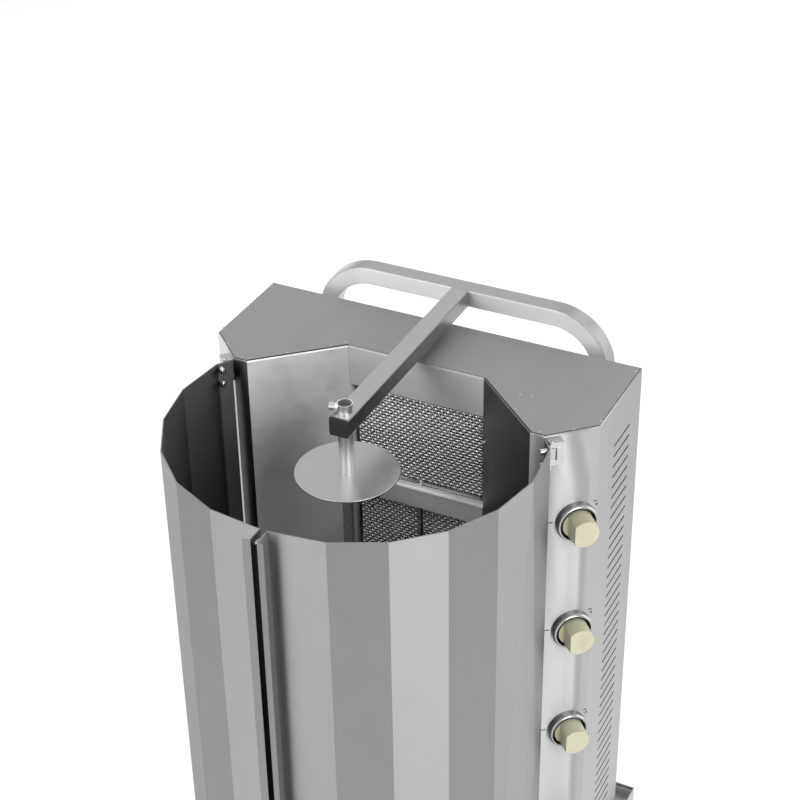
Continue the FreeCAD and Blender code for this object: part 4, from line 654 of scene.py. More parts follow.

# Copies of one stainless steel. Their tones differ partly as painted light and shade: the cover, doors,
# right wing, skewer, screws and bezels are darker, and the left wing, shelf, sleeve and wire lighter, for
# the light and reflections that fall on each. Where a row gives a share for chosen faces, those faces get
# painted shade.
COVER_STEEL = BrushedSteel("cover_steel", 0.34, 0.56, painted_shade=0.25)
WALL_STEEL = BrushedSteel("wall_steel", 0.42, 0.50, smudge=0.4, drawn=UPRIGHT_SPREAD, painted_shade=0.30)
HEADER_STEEL = BrushedSteel("header_steel", 0.50, 0.50, smudge=0.4, drawn=UPRIGHT_SPREAD)
# Painted light on the left wing and painted shade on the right wing: one sheet steel in a lit and a shaded
# tone.
LIT_WING_STEEL = BrushedSteel("lit_wing_steel", 0.72, 0.42, drawn=UPRIGHT_SPREAD, painted_shade=0.10)
SHADED_WING_STEEL = BrushedSteel("shaded_wing_steel", 0.18, 0.32, contrast=0.06, painted_shade=0.25)
SHELF_STEEL = BrushedSteel("shelf_steel", 0.92, 0.46, contrast=0.06, smudge=0.4, edge_highlight=0.7,
                           drawn=SLOPED_SPREAD)
DOOR_STEEL = BrushedSteel("door_steel", 0.30, 0.50, contrast=0.03, smudge=0.3, drawn=UPRIGHT_SPREAD,
                          painted_shade=0.40)
BACK_STEEL = BrushedSteel("back_steel", 0.50, 0.33, contrast=0.10, painted_shade=0.12)
BASE_STEEL = BrushedSteel("base_steel", 0.50, 0.33, contrast=0.10)
TRAY_STEEL = BrushedSteel("tray_steel", 0.48, 0.36, contrast=0.12, smudge=0.9, dust=0.25)
TUBE_STEEL = BrushedSteel("tube_steel", 0.62, 0.48, contrast=0.04, drawn=SLOPED_SPREAD, depth=0.00001,
                          painted_shade=0.67)
HANDLE_STEEL = BrushedSteel("handle_steel", 0.50, 0.34, smudge=0.6)
ARM_STEEL = BrushedSteel("arm_steel", 0.42, 0.32, Grain.DEEP, 0.04, edge_highlight=0.6, depth=0.00001, painted_shade=0.66)
SKEWER_STEEL = BrushedSteel("skewer_steel", 0.32, 0.26, Grain.UPRIGHT, 0.14, 0.6)
DISC_STEEL = BrushedSteel("disc_steel", 0.44, 0.34, Grain.EVEN, 0.08, 0.8, edge_highlight=1.0)
BURNER_STEEL = BrushedSteel("burner_steel", 0.46, 0.38, contrast=0.14, smudge=0.6, heat=0.18, painted_shade=0.20)
WIRE_STEEL = BrushedSteel("wire_steel", 0.97, 0.30, Grain.EVEN, 0.02, 0.2)
SLEEVE_STEEL = BrushedSteel("sleeve_steel", 0.92, 0.34, Grain.UPRIGHT, 0.06, 0.3, edge_highlight=0.6)
BRACKET_STEEL = BrushedSteel("bracket_steel", 0.46, 0.36, Grain.EVEN, 0.05, 0.3, edge_highlight=0.8)
BEZEL_CHROME = BrushedSteel("bezel_chrome", 0.40, 0.16, Grain.EVEN, 0.20, 0.4, edge_highlight=1.0, painted_shade=0.06)
SCREW_STEEL = BrushedSteel("screw_steel", 0.40, 0.34, Grain.EVEN, 0.08, 0.3)
PIN_STEEL = BrushedSteel("pin_steel", 0.58, 0.24, Grain.EVEN, 0.08, 0.3)
BRIGHT_CHROME = Plating("bright_chrome")
BRASS = Plating("turned_brass", (0.60, 0.43, 0.17), 0.24)
BRONZE = Plating("bush_bronze", (0.46, 0.28, 0.13), 0.30)
IVORY = Moulding("ivory_plastic", (0.64, 0.61, 0.44), (0.74, 0.71, 0.56), (0.52, 0.48, 0.32), 0.36, 1100.0)
BLACK = Moulding("black_plastic")
RUBBER = Moulding("foot_rubber", (0.03, 0.03, 0.032), (0.12, 0.115, 0.11), roughness=0.72, texture=600.0,
                  depth=0.0001)
CERAMIC = FiredCeramic("fired_ceramic")
INSULATOR = Moulding("white_ceramic", (0.74, 0.72, 0.66), (0.80, 0.78, 0.74), (0.36, 0.30, 0.22), 0.28,
                     900.0, 0.00002)
MOTOR_COAT = CastCoat("motor_coat")
INK = PrintedInk("printed_ink")
FLOOR_PAPER = PaleFloor("pale_floor")


# Mesh tools


class Maker:
    """Builds meshes and finished pieces, each riding on its body."""

    tiny: ClassVar[float] = 1e-6
    merge_gap: ClassVar[float] = 2e-6
    flat_angle: ClassVar[float] = math.radians(0.6)
    broken_angle: ClassVar[float] = math.radians(38.0)

    @staticmethod
    def piece(name: str, mesh: Mesh, finish: Finish, body: str, slot: str,
              stands_for: Iterable[str] = (), smooth: float | None = TURNED) -> Piece:
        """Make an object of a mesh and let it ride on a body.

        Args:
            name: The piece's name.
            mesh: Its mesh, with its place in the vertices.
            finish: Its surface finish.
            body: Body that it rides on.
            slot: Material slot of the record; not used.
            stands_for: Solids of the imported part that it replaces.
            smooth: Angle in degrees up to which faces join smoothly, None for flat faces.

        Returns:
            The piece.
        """
        mesh.materials.clear()
        mesh.materials.append(finish.material())
        if smooth is None:
            mesh.shade_flat()
        else:
            mesh.shade_smooth()
            mesh.set_sharp_from_angle(angle=math.radians(smooth))
        piece = link(name, mesh)
        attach(piece, body)
        if stands_for:
            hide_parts(*stands_for)
        LOG.info("%s: %d faces on %s", name, len(mesh.polygons), body)
        return piece

    @staticmethod
    def to_mesh(name: str, shape: Shape, heal: bool = False) -> Mesh:
        """Turn a bmesh into a mesh and free it.

        Args:
            name: Name of the mesh.
            shape: The bmesh.
            heal: Whether its doubles are merged and its faces turned outward first.

        Returns:
            The mesh.
        """
        if heal:
            bmesh.ops.remove_doubles(shape, verts=shape.verts, dist=Maker.tiny)
            bmesh.ops.recalc_face_normals(shape, faces=shape.faces)
        mesh = bpy.data.meshes.new(name)
        shape.to_mesh(mesh)
        shape.free()
        return mesh

    @staticmethod
    def skin(node: str, finish: Finish, smooth: float = TURNED, edge: float = 0.0,
             marked: FaceTest | None = None) -> Piece:
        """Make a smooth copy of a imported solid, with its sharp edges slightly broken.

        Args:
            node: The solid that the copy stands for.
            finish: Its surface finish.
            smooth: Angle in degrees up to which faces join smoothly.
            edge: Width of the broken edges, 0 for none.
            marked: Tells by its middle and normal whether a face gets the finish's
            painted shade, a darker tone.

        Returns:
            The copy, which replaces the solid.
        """
        shape = bmesh.new()
        shape.from_mesh(frame["nodes"][node].data)
        bmesh.ops.remove_doubles(shape, verts=shape.verts, dist=Maker.merge_gap)
        bmesh.ops.dissolve_degenerate(shape, edges=shape.edges, dist=Maker.tiny)
        if edge:
            bmesh.ops.dissolve_limit(shape, angle_limit=Maker.flat_angle, verts=shape.verts,
                                     edges=shape.edges)
        # Painted shade: faces that pass the test carry the mark that darkens them.
        if marked is not None:
            layer = shape.loops.layers.float.new(PAINTED_SHADE)
            for face in shape.faces:
                has_tone = marked(face.calc_center_median(), face.normal)
                for corner in face.loops:
                    corner[layer] = float(has_tone)
        name = f"{node}_skin"
        mesh = Maker.to_mesh(name, shape)
        piece = Maker.piece(name, mesh, finish, BODY_OF[node], SLOT_OF[node], (node,), smooth)
        Maker.soften(piece, edge)
        return piece

    @staticmethod
    def soften(piece: Piece, edge: float) -> None:
        """Break a piece's sharp edges and keep its flat faces flat in the shading.

        Args:
            piece: The piece.
            edge: Width of the broken edges, 0 for none.
        """
        if edge:
            bevel = piece.modifiers.new("broken_edge", "BEVEL")
            bevel.width = edge
            bevel.segments = 2
            bevel.limit_method = "ANGLE"
            bevel.angle_limit = Maker.broken_angle
            bevel.use_clamp_overlap = True
            bevel.harden_normals = False
        even = piece.modifiers.new("even_shade", "WEIGHTED_NORMAL")
        even.mode = "FACE_AREA"
        even.weight = 100
        even.keep_sharp = True

    @staticmethod
    def looks_to(heart: Sequence[float], rise: float = 1.0, least: float = 0.0) -> FaceTest:
        """Return a test for faces that look to a point.

        Args:
            heart: The point, such as the middle of the space that a sheet walls in.
            rise: How much of the way's height counts, 0 for a way seen in plan.
            least: Least cosine between a face's normal and the way to the point.

        Returns:
            The test.
        """
        def test(middle: Vector, normal: Vector) -> bool:
            """Tell whether a face with this middle and normal looks to the point."""
            way = (Vector(heart) - middle) * Vector((1.0, 1.0, rise))
            return normal.dot(way.normalized()) > least

        return test

    @staticmethod
    def finish_node(node: str, finish: Finish) -> None:
        """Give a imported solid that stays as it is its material.

        Args:
            node: The solid.
            finish: Its surface finish.
        """
        target = frame["nodes"][node]
        if not target.material_slots:
            target.data.materials.append(finish.material())
        for slot in target.material_slots:
            slot.material = finish.material()

    @staticmethod
    def bridge(shape: Shape, loops: Sequence[Sequence[bmesh.types.BMVert]]) -> None:
        """Join each closed loop of vertices to the next by a band of faces.

        Args:
            shape: The bmesh.
            loops: The loops, each with as many vertices.
        """
        for low, high in zip(loops, loops[1:]):
            for index, vertex in enumerate(low):
                following = (index + 1) % len(low)
                shape.faces.new((vertex, low[following], high[following], high[index]))

    @staticmethod
    def prism(shape: Shape, outline: Sequence[Vector], rise: Vector) -> None:
        """Add a closed prism to a bmesh.

        Args:
            shape: The bmesh.
            outline: Corners of its base.
            rise: From the base to the top.
        """
        low = [shape.verts.new(corner) for corner in outline]
        high = [shape.verts.new(corner + rise) for corner in outline]
        shape.faces.new(low)
        shape.faces.new(high)
        Maker.bridge(shape, (low, high))

    @staticmethod
    def rod(shape: Shape, path: Sequence[Vector], radius: float, sides: int) -> None:
        """Add a round rod to a bmesh, its ends closed.

        Args:
            shape: The bmesh.
            path: Points of its middle line.
            radius: Its radius.
            sides: Flats round it.
        """
        loops = []
        for index, point in enumerate(path):
            before, after = path[max(index - 1, 0)], path[min(index + 1, len(path) - 1)]
            along = (after - before).normalized()
            across = along.cross(Vector((0.0, 0.0, 1.0))).normalized()
            up = across.cross(along)
            loops.append([shape.verts.new(point + radius * (cosine * across + sine * up))
                          for cosine, sine in around(sides)])
        Maker.bridge(shape, loops)
        shape.faces.new(loops[0])
        shape.faces.new(loops[-1])


class GeometryTree:
    """A geometry node tree with named sizes, baked into a plain mesh."""

    def __init__(self, name: str, sizes: dict[str, float | int], tools: Sequence[str] = ()) -> None:
        """Start a tree with its inputs and output.

        Args:
            name: The tree's name.
            sizes: Named inputs with their values, whole numbers for counts.
            tools: Names of inputs that take another object.
        """
        self.sizes = dict(sizes)
        self.tree = bpy.data.node_groups.new(name, "GeometryNodeTree")
        face = self.tree.interface
        face.new_socket("Geometry", in_out="INPUT", socket_type="NodeSocketGeometry")
        for label, value in sizes.items():
            kind = "NodeSocketInt" if isinstance(value, int) else "NodeSocketFloat"
            face.new_socket(label, in_out="INPUT", socket_type=kind).default_value = value
        for label in tools:
            face.new_socket(label, in_out="INPUT", socket_type="NodeSocketObject")
        face.new_socket("Finish", in_out="INPUT", socket_type="NodeSocketMaterial")
        face.new_socket("Geometry", in_out="OUTPUT", socket_type="NodeSocketGeometry")
        self.build = Shader(self.tree)
        self.given = {socket.name: socket for socket in self.build.add("NodeGroupInput").outputs}
        self.leave = self.build.add("NodeGroupOutput")

    def close(self, geometry: Socket) -> None:
        """End the tree in real geometry with its material.

        Args:
            geometry: What the tree has made.
        """
        real = self.build.add("GeometryNodeRealizeInstances", {0: geometry})
        paint = self.build.add("GeometryNodeSetMaterial",
                               {"Geometry": real.outputs[0], "Material": self.given["Finish"]})
        self.build.feed(paint.outputs[0], self.leave.inputs[0])

    def bake(self, name: str, finish: Finish, values: dict[str, object] | None = None,
             carrier: Mesh | None = None) -> Mesh:
        """Run the tree once and keep its result.

        Args:
            name: Name of the mesh.
            finish: Surface finish of the result.
            values: Inputs that differ from the tree's own values.
            carrier: Mesh that the tree starts from, such as points.

        Returns:
            A plain mesh.
        """
        base = link(name, carrier or bpy.data.meshes.new(f"{name}_base"))
        modifier = base.modifiers.new("build", "NODES")
        modifier.node_group = self.tree
        wanted = {**self.sizes, **(values or {}), "Finish": finish.material()}
        for item in self.tree.interface.items_tree:
            if item.in_out == "INPUT" and item.name in wanted:
                modifier[item.identifier] = wanted[item.name]
        bpy.context.view_layer.update()
        solid = base.evaluated_get(bpy.context.evaluated_depsgraph_get())
        mesh = bpy.data.meshes.new_from_object(solid)
        mesh.name = name
        base.modifiers.remove(modifier)
        bpy.data.objects.remove(base)
        return mesh


# Sub-assemblies


@dataclass
class Housing:
    """The sheet-steel casing: folded walls, sloped top cover and its screws."""

    cover_top: float = 0.967
    chamber: Point = (0.20, 0.17, 0.5)
    slanted: float = -0.35
    frontal: float = -0.9
    head_radius: float = 0.0027
    head_height: float = 0.0010
    head_sunk: float = 0.0001
    head_sides: int = 16
    head_rings: tuple[tuple[float, float], ...] = (
        (1.0, 0.0), (1.0, 0.30), (0.86, 0.72), (0.58, 0.94), (0.30, 1.0),
    )
    recess: float = 0.30
    recess_level: float = 0.45
    recess_reach: tuple[float, float] = (0.45, 0.95)
    screw_points: tuple[tuple[float, float], ...] = (
        (-0.294, 0.260), (-0.294, 0.190), (-0.295, 0.120), (-0.2685, 0.0865), (-0.2305, 0.0615),
        (-0.177, 0.0995), (-0.1295, 0.143), (-0.114, 0.159), (0.1693, 0.1357), (0.1859, 0.1370),
        (0.1298, 0.1424), (0.1774, 0.0999), (0.2300, 0.0603), (0.2685, 0.0865), (0.295, 0.120),
        (0.294, 0.190), (0.294, 0.260),
    )

    def looks_in(self, side: float) -> FaceTest:
        """Return a test for faces that look in plan to one half of the chamber, -1 for the left."""
        across, *rest = self.chamber
        return Maker.looks_to((side * across, *rest), 0.0, self.slanted)

    def left_shaded(self, middle: Vector, normal: Vector) -> bool:
        """Tell whether a face of the left panel gets painted shade: it looks in or to the front."""
        return self.looks_in(-1.0)(middle, normal) or normal.y < self.frontal

    def dress(self) -> None:
        """Finish the walls, the cover and the inner panels, with painted shade on the faces that look into
        the casing and on the left panel's front.
        """
        right, left = self.looks_in(1.0), self.looks_in(-1.0)
        back = Maker.looks_to((0.0, *self.chamber[1:]))
        # Painted shade: each test picks the faces that get a darker tone.
        for node, finish, marked in (
            ("top_cover", COVER_STEEL, back),
            ("right_side_panel", WALL_STEEL, right),
            ("right_wing_panel", SHADED_WING_STEEL, right),
            ("left_side_panel", WALL_STEEL, self.left_shaded),
            ("left_wing_panel", LIT_WING_STEEL, left),
            ("header_panel", HEADER_STEEL, None),
            ("divider_shelves", SHELF_STEEL, None),
            ("back_panel", BACK_STEEL, back),
        ):
            Maker.skin(node, finish, FOLDED, marked=marked)

    def head_mesh(self) -> Mesh:
        """Build a low domed screw head with a cross recess.

        Returns:
            The head, standing on z = 0.
        """
        shape = bmesh.new()
        turns = around(self.head_sides)
        loops = [[shape.verts.new((self.head_radius * share * cosine, self.head_radius * share * sine,
                                   self.head_height * rise)) for cosine, sine in turns]
                 for share, rise in self.head_rings]
        near, far = self.recess_reach
        reach = [self.head_radius * self.recess * (near if k % 4 == 2 else far)
                 for k in range(self.head_sides)]
        sunk = [shape.verts.new((length * cosine, length * sine, self.head_height * self.recess_level))
                for length, (cosine, sine) in zip(reach, turns)]
        Maker.bridge(shape, (*loops, sunk))
        shape.faces.new(sunk)
        shape.faces.new(loops[0])
        return Maker.to_mesh("screw_head", shape, heal=True)

    def field_tree(self) -> GeometryTree:
        """Build a tree that puts screw heads on points.

        Returns:
            A tree that puts one head, turned at random, at each point of its geometry.
        """
        made = GeometryTree("screw_field", {"Seed": 7}, ("Head",))
        build, given = made.build, made.given
        head = build.add("GeometryNodeObjectInfo", {"Object": given["Head"]})
        turn = build.add("FunctionNodeRandomValue", {3: math.tau, "Seed": given["Seed"]}, data_type="FLOAT")
        euler = build.add("ShaderNodeCombineXYZ", {"Z": turn.outputs[1]})
        spread = build.add("GeometryNodeInstanceOnPoints", {
            "Points": given["Geometry"], "Instance": head.outputs["Geometry"], "Rotation": euler.outputs[0]})
        made.close(spread.outputs[0])
        return made

    def screws(self) -> None:
        """Set the screws that hold the cover."""
        points = bpy.data.meshes.new("screw_points")
        level = self.cover_top - self.head_sunk
        points.from_pydata([(x, y, level) for x, y in self.screw_points], [], [])
        head = link("screw_head", self.head_mesh())
        mesh = self.field_tree().bake("cover_screws", SCREW_STEEL, {"Head": head}, points)
        bpy.data.objects.remove(head)
        Maker.piece("cover_screws", mesh, SCREW_STEEL, "housing", "bright_metal", smooth=SMALL)

    def build(self) -> None:
        """Build and dress the casing."""
        self.dress()
        self.screws()


@dataclass
class BurnerColumn:
    """Rows of gas burners, each behind frames of woven wire."""

    mesh_bottom: float = 0.7463
    mesh_height: float = 0.1540
    inner_edge: float = 0.0017
    outer_edge: float = 0.1015
    front: float = 0.1684
    border: float = 0.0016
    border_thickness: float = 0.0016
    border_fold: float = 0.0005
    border_crown: float = 0.0004
    weave_depth: float = 0.0002
    wire_radius: float = 0.00128
    wire_pitch: float = 0.0050
    crimp: float = 0.75
    bar_half: float = 0.010
    bar_back: float = 0.19
    bar_facing: float = -0.5
    spark_radius: float = 0.0009
    spark_sides: int = 8
    spark_path: tuple[Point, ...] = (
        (0.1030, 0.1700, -0.0025), (0.1014, 0.1662, -0.0012), (0.0970, 0.1652, 0.0002),
        (0.0915, 0.1656, 0.0022),
    )

    def weave_tree(self) -> GeometryTree:
        """Build a tree that weaves round wires over and under each other.

        Returns:
            A tree whose panel starts at the origin and lies along x and z.
        """
        made = GeometryTree("woven_wire", {"Width": 0.1, "Height": 0.1, "Pitch": self.wire_pitch,
                                           "Wire Radius": self.wire_radius, "Sides": 7})
        build, given = made.build, made.given
        columns, lines = (
            build.plus(build.calculate("FLOOR", build.calculate("DIVIDE", given[side], given["Pitch"])), 1.0)
            for side in ("Width", "Height"))
        both = build.add("GeometryNodeJoinGeometry", {0: self.wires(build, given, columns, lines, True)})
        build.feed(self.wires(build, given, lines, columns, False), both.inputs[0])
        profile = build.add("GeometryNodeCurvePrimitiveCircle",
                            {"Resolution": given["Sides"], "Radius": given["Wire Radius"]})
        solid = build.add("GeometryNodeCurveToMesh", {
            "Curve": both.outputs[0], "Profile Curve": profile.outputs[0], "Fill Caps": True})
        made.close(solid.outputs[0])
        return made

    def wires(self, build: Shader, given: dict[str, Socket], count: Socket, crossings: Socket,
              along_z: bool) -> Socket:
        """Add one set of parallel wires that wave over and under the other set.

        Args:
            build: The tree.
            given: The tree's inputs by name.
            count: Number of wires.
            crossings: Number of wires that each one crosses.
            along_z: Whether the wires run along z, or else along x.

        Returns:
            The wires, as curves.
        """
        step = build.add("ShaderNodeCombineXYZ", {"X" if along_z else "Z": given["Pitch"]})
        row = build.add("GeometryNodeMeshLine", {"Count": count, "Offset": step.outputs[0]}, mode="OFFSET")
        reach = build.times(build.minus(crossings, 1.0), given["Pitch"])
        end = build.add("ShaderNodeCombineXYZ", {"Z" if along_z else "X": reach})
        wire = build.add("GeometryNodeCurvePrimitiveLine", {"End": end.outputs[0]})
        bends = build.minus(build.times(crossings, 2.0), 1.0)
        fine = build.add("GeometryNodeResampleCurve", {"Curve": wire.outputs[0], "Count": bends})
        spread = build.add("GeometryNodeInstanceOnPoints",
                           {"Points": row.outputs[0], "Instance": fine.outputs[0]})
        real = build.add("GeometryNodeRealizeInstances", {0: spread.outputs[0]})
        place = build.add("GeometryNodeInputPosition")
        axes = build.add("ShaderNodeSeparateXYZ", {0: place.outputs[0]})
        turn = build.calculate("DIVIDE", math.pi, given["Pitch"])
        waves = [build.calculate("COSINE", build.times(axes.outputs[axis], turn)) for axis in ("X", "Z")]
        height = build.times(given["Wire Radius"], self.crimp if along_z else -self.crimp)
        offset = build.add("ShaderNodeCombineXYZ", {"Y": build.times(build.times(*waves), height)})
        moved = build.add("GeometryNodeSetPosition",
                          {"Geometry": real.outputs[0], "Offset": offset.outputs[0]})
        return moved.outputs[0]

    def border_ring(self, shape: Shape, left: float, right: float, low: float, high: float) -> None:
        """Add the folded border of one frame to a bmesh.

        Args:
            shape: The bmesh.
            left: Left edge, x.
            right: Right edge, x.
            low: Bottom edge, z.
            high: Top edge, z.
        """
        flat, crown = self.border_thickness, self.border_thickness + self.border_crown
        sections = ((0.0, 0.0), (0.0, flat), (self.border_fold, crown),
                    (self.border - self.border_fold, crown), (self.border, flat), (self.border, 0.0))
        loops = []
        for inset, rise in sections:
            corners = ((left + inset, low + inset), (right - inset, low + inset),
                       (right - inset, high - inset), (left + inset, high - inset))
            loops.append([shape.verts.new((x, self.front + flat - rise, z)) for x, z in corners])
        Maker.bridge(shape, (*loops, loops[0]))

    def guard(self, row: int, tree: GeometryTree) -> None:
        """Build the wire frames of one row as one piece: one at the top, two below.

        Args:
            row: Row number, 0 at the top.
            tree: The weaving tree.
        """
        shape = bmesh.new()
        low = self.mesh_bottom - row * ROW_PITCH
        high = low + self.mesh_height
        half = self.border * 0.5
        halves = ((-self.outer_edge, -self.inner_edge), (self.inner_edge, self.outer_edge))
        for left, right in halves if row else ((-self.outer_edge, self.outer_edge),):
            self.border_ring(shape, left, right, low, high)
            width, height = right - left - 2 * half, high - low - 2 * half
            woven = tree.bake("weave", WIRE_STEEL, {"Width": width, "Height": height})
            side, rise = ((length - math.floor(length / self.wire_pitch) * self.wire_pitch) / 2
                          for length in (width, height))
            woven.transform(Matrix.Translation(Vector((left + half + side, self.front + self.weave_depth,
                                                       low + half + rise))))
            shape.from_mesh(woven)
            bpy.data.meshes.remove(woven)
        bmesh.ops.recalc_face_normals(shape, faces=shape.faces)
        name = f"woven_guard_{row + 1}"
        Maker.piece(name, Maker.to_mesh(name, shape), WIRE_STEEL, "housing", "mesh_wire",
                    (f"mesh_guard_{row + 1}",), WOVEN)

    def electrodes(self) -> None:
        """Bend the spark wires that reach from the igniters to the frames."""
        shape = bmesh.new()
        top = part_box("igniters")[1].z
        for row in range(ROWS):
            level = top - row * ROW_PITCH
            path = [Vector((x, y, level + z)) for x, y, z in self.spark_path]
            Maker.rod(shape, path, self.spark_radius, self.spark_sides)
        mesh = Maker.to_mesh("spark_wires", shape, heal=True)
        Maker.piece("spark_wires", mesh, PIN_STEEL, "housing", "pin_steel", smooth=SMALL)

    def between_tiles(self, middle: Vector, normal: Vector) -> bool:
        """Tell whether a face belongs to the bar between a row's two tiles, where shade is painted."""
        return abs(middle.x) < self.bar_half and middle.y < self.bar_back and normal.y < self.bar_facing

    def dress(self) -> None:
        """Finish the burner boxes, tiles, igniters and gas lines, with painted shade on the bar between the
        tiles.
        """
        for row in range(ROWS):
            # Painted shade: the bar between the tiles gets a darker tone.
            Maker.skin(f"burner_row_{row + 1}", BURNER_STEEL, FOLDED, marked=self.between_tiles)
        Maker.finish_node("ceramic_tiles", CERAMIC)
        for node, finish, smooth in (("igniters", INSULATOR, FOLDED), ("gas_manifold", BURNER_STEEL, FOLDED),
                                     ("feed_pipes", BRASS, FOLDED), ("gas_inlet", BRASS, DRAWN)):
            Maker.skin(node, finish, smooth)

    def build(self) -> None:
        """Build and dress the burners."""
        self.dress()
        tree = self.weave_tree()
        for row in range(ROWS):
            self.guard(row, tree)
        self.electrodes()


@dataclass(frozen=True)
class SlantedFace:
    """The slanted face of the right wall, which carries the gas controls and a door."""

    corner: Point = (0.2412, 0.05375, 0.0)
    along: Point = (0.725374, 0.688355, 0.0)
    outward: Point = (0.688355, -0.725374, 0.0)

    def point(self, distance: float, height: float, lift: float = 0.0) -> Vector:
        """Return the point at a distance from the inner edge and a height, lifted off the face."""
        return (Vector(self.corner) + distance * Vector(self.along) + lift * Vector(self.outward)
                + Vector((0.0, 0.0, height)))


FACE = SlantedFace()


@dataclass
class Doors:
    """Two faceted steel doors on lift-off hinges, with their studs and dome nuts."""

    heart: Point = (0.0, -0.060, 0.5)
    smooth: float = 24.0
    edge: float = 0.0004
    front_start: float = 0.0117
    front_end: float = 0.0219
    front_out: float = 0.0149
    front_sheet: float = 0.0012
    front_levels: tuple[tuple[float, float], ...] = ((0.1899, 0.2101), (0.9349, 0.9551))

    def hinge_fronts(self) -> None:
        """Close the front of each hinge bracket between its lugs."""
        shape = bmesh.new()
        back = self.front_out - self.front_sheet
        plan = [FACE.point(distance, 0.0, lift) for distance, lift in (
            (self.front_start, back), (self.front_end, back), (self.front_end, self.front_out),
            (self.front_start, self.front_out))]
        for side in (-1.0, 1.0):
            for low, high in self.front_levels:
                outline = [Vector((side * corner.x, corner.y, low)) for corner in plan]
                Maker.prism(shape, outline, Vector((0.0, 0.0, high - low)))
        mesh = Maker.to_mesh("hinge_fronts", shape, heal=True)
        piece = Maker.piece("hinge_fronts", mesh, BRACKET_STEEL, "housing", SLOT_OF["hinge_brackets"])
        Maker.soften(piece, self.edge)

    def build(self) -> None:
        """Dress the doors and their fittings, with painted shade on the doors' inner faces."""
        for side in ("left", "right"):
            # Painted shade: the door faces that look to the spit's middle get a darker tone.
            Maker.skin(f"{side}_door", DOOR_STEEL, self.smooth, marked=Maker.looks_to(self.heart))
            Maker.skin(f"{side}_door_hinges", BRACKET_STEEL, edge=self.edge)
            Maker.skin(f"{side}_door_studs", BRIGHT_CHROME)
        Maker.skin("door_bumper", BRIGHT_CHROME)
        Maker.skin("hinge_brackets", BRACKET_STEEL, edge=0.0006)
        Maker.skin("hinge_pins", PIN_STEEL)
        self.hinge_fronts()


@dataclass
class GasControls:
    """Knobs, bezels and valves on the slanted face, with its printed marks."""

    first_height: float = 0.817
    knob_along: float = 0.0485
    bore: float = 0.0253
    ink: float = 0.00008
    ink_sunk: float = 0.00002
    dot_sides: int = 16
    ticks: tuple[tuple[float, float, float, float], ...] = (
        (0.0077, 0.0136, 0.8205, 0.0008), (0.0753, 0.0803, 0.8427, 0.0008),
    )
    dots: tuple[tuple[float, float, float], ...] = ((0.0140, 0.8200, 0.0011), (0.0795, 0.8370, 0.0016))

    def in_bore(self, middle: Vector, normal: Vector) -> bool:
        """Tell by its middle, whatever its normal, whether a face is in the bore of a bezel, where shade is
        painted.
        """
        axes = (FACE.point(self.knob_along, self.first_height - row * ROW_PITCH) for row in range(ROWS))
        return min((middle - axis).cross(Vector(FACE.outward)).length for axis in axes) < self.bore

    def marks(self) -> None:
        """Print the tick and dot on each side of every knob."""
        plans = [((start, z - half), (end, z - half), (end, z + half), (start, z + half))
                 for start, end, z, half in self.ticks]
        plans += [[(middle + radius * cosine, z + radius * sine) for cosine, sine in around(self.dot_sides)]
                  for middle, z, radius in self.dots]
        shape = bmesh.new()
        rise = self.ink * Vector(FACE.outward)
        for row in range(ROWS):
            for plan in plans:
                corners = [FACE.point(distance, z - row * ROW_PITCH, -self.ink_sunk) for distance, z in plan]
                Maker.prism(shape, corners, rise)
        mesh = Maker.to_mesh("printed_marks", shape, heal=True)
        Maker.piece("printed_marks", mesh, INK, "housing", "black_plastic", smooth=None)

    def build(self) -> None:
        """Build the marks and dress the controls, with painted shade in the bezels' bores."""
        # Painted shade: the bezel's faces in the bore get a darker tone.
        Maker.skin("knob_bezels", BEZEL_CHROME, edge=0.0004, marked=self.in_bore)
        for row in range(ROWS):
            Maker.skin(f"control_knob_{row + 1}", IVORY, DRAWN, edge=0.0008)
            Maker.skin(f"valve_stem_{row + 1}", PIN_STEEL)
        Maker.skin("gas_valves", BRASS, edge=0.0005)
        self.marks()


@dataclass
class SpitDrive:
    """The turning spit and its motor, and the upper bearing that slides on it.

    A row of skins holds a solid, its finish, its smoothing angle and the width of
    its broken edges, as Maker.skin takes them.
    """

    skins: tuple[tuple, ...] = (
        ("gear_motor", MOTOR_COAT, TURNED, 0.0012),
        ("drive_bearing", BRONZE),
        ("drive_shaft", PIN_STEEL),
        ("meat_plate", TRAY_STEEL),
        ("skewer", SKEWER_STEEL, 25.0, 0.0006),
        ("top_sleeve", SLEEVE_STEEL, TURNED, 0.0004),
        ("top_disc", DISC_STEEL, TURNED, 0.0010),
        ("thumb_screw", PIN_STEEL, TURNED, 0.0003),
    )

    def build(self) -> None:
        """Dress the turning and sliding pieces."""
        for row in self.skins:
            Maker.skin(*row)


@dataclass
class FrameTube:
    """The square-tube hoop behind the housing and the arm that holds the spit's top end."""

    flat_facing: float = 0.7
    bend_facing: float = 0.3
    plug_edge: float = 0.0006

    def hoop_shaded(self, middle: Vector, normal: Vector) -> bool:
        """Tell whether a face is on top of the hoop, or on the outside of its right bend, where shade is
        painted.
        """
        return normal.z > self.flat_facing or (normal.x > self.bend_facing and middle.x > 0.0)

    def arm_shaded(self, middle: Vector, normal: Vector) -> bool:
        """Tell by its normal, whatever its middle, whether a face is on the arm's right side, where shade is
        painted.
        """
        return normal.x > self.flat_facing

    def build(self) -> None:
        """Dress the tube and its plug, with painted shade on the hoop's top and right bend and on the arm's
        right side.
        """
        # Painted shade: the faces each test picks get a darker tone.
        Maker.skin("support_frame", TUBE_STEEL, DRAWN, marked=self.hoop_shaded)
        Maker.skin("support_arm", ARM_STEEL, DRAWN, marked=self.arm_shaded)
        Maker.skin("arm_end_cap", BLACK, DRAWN, self.plug_edge)


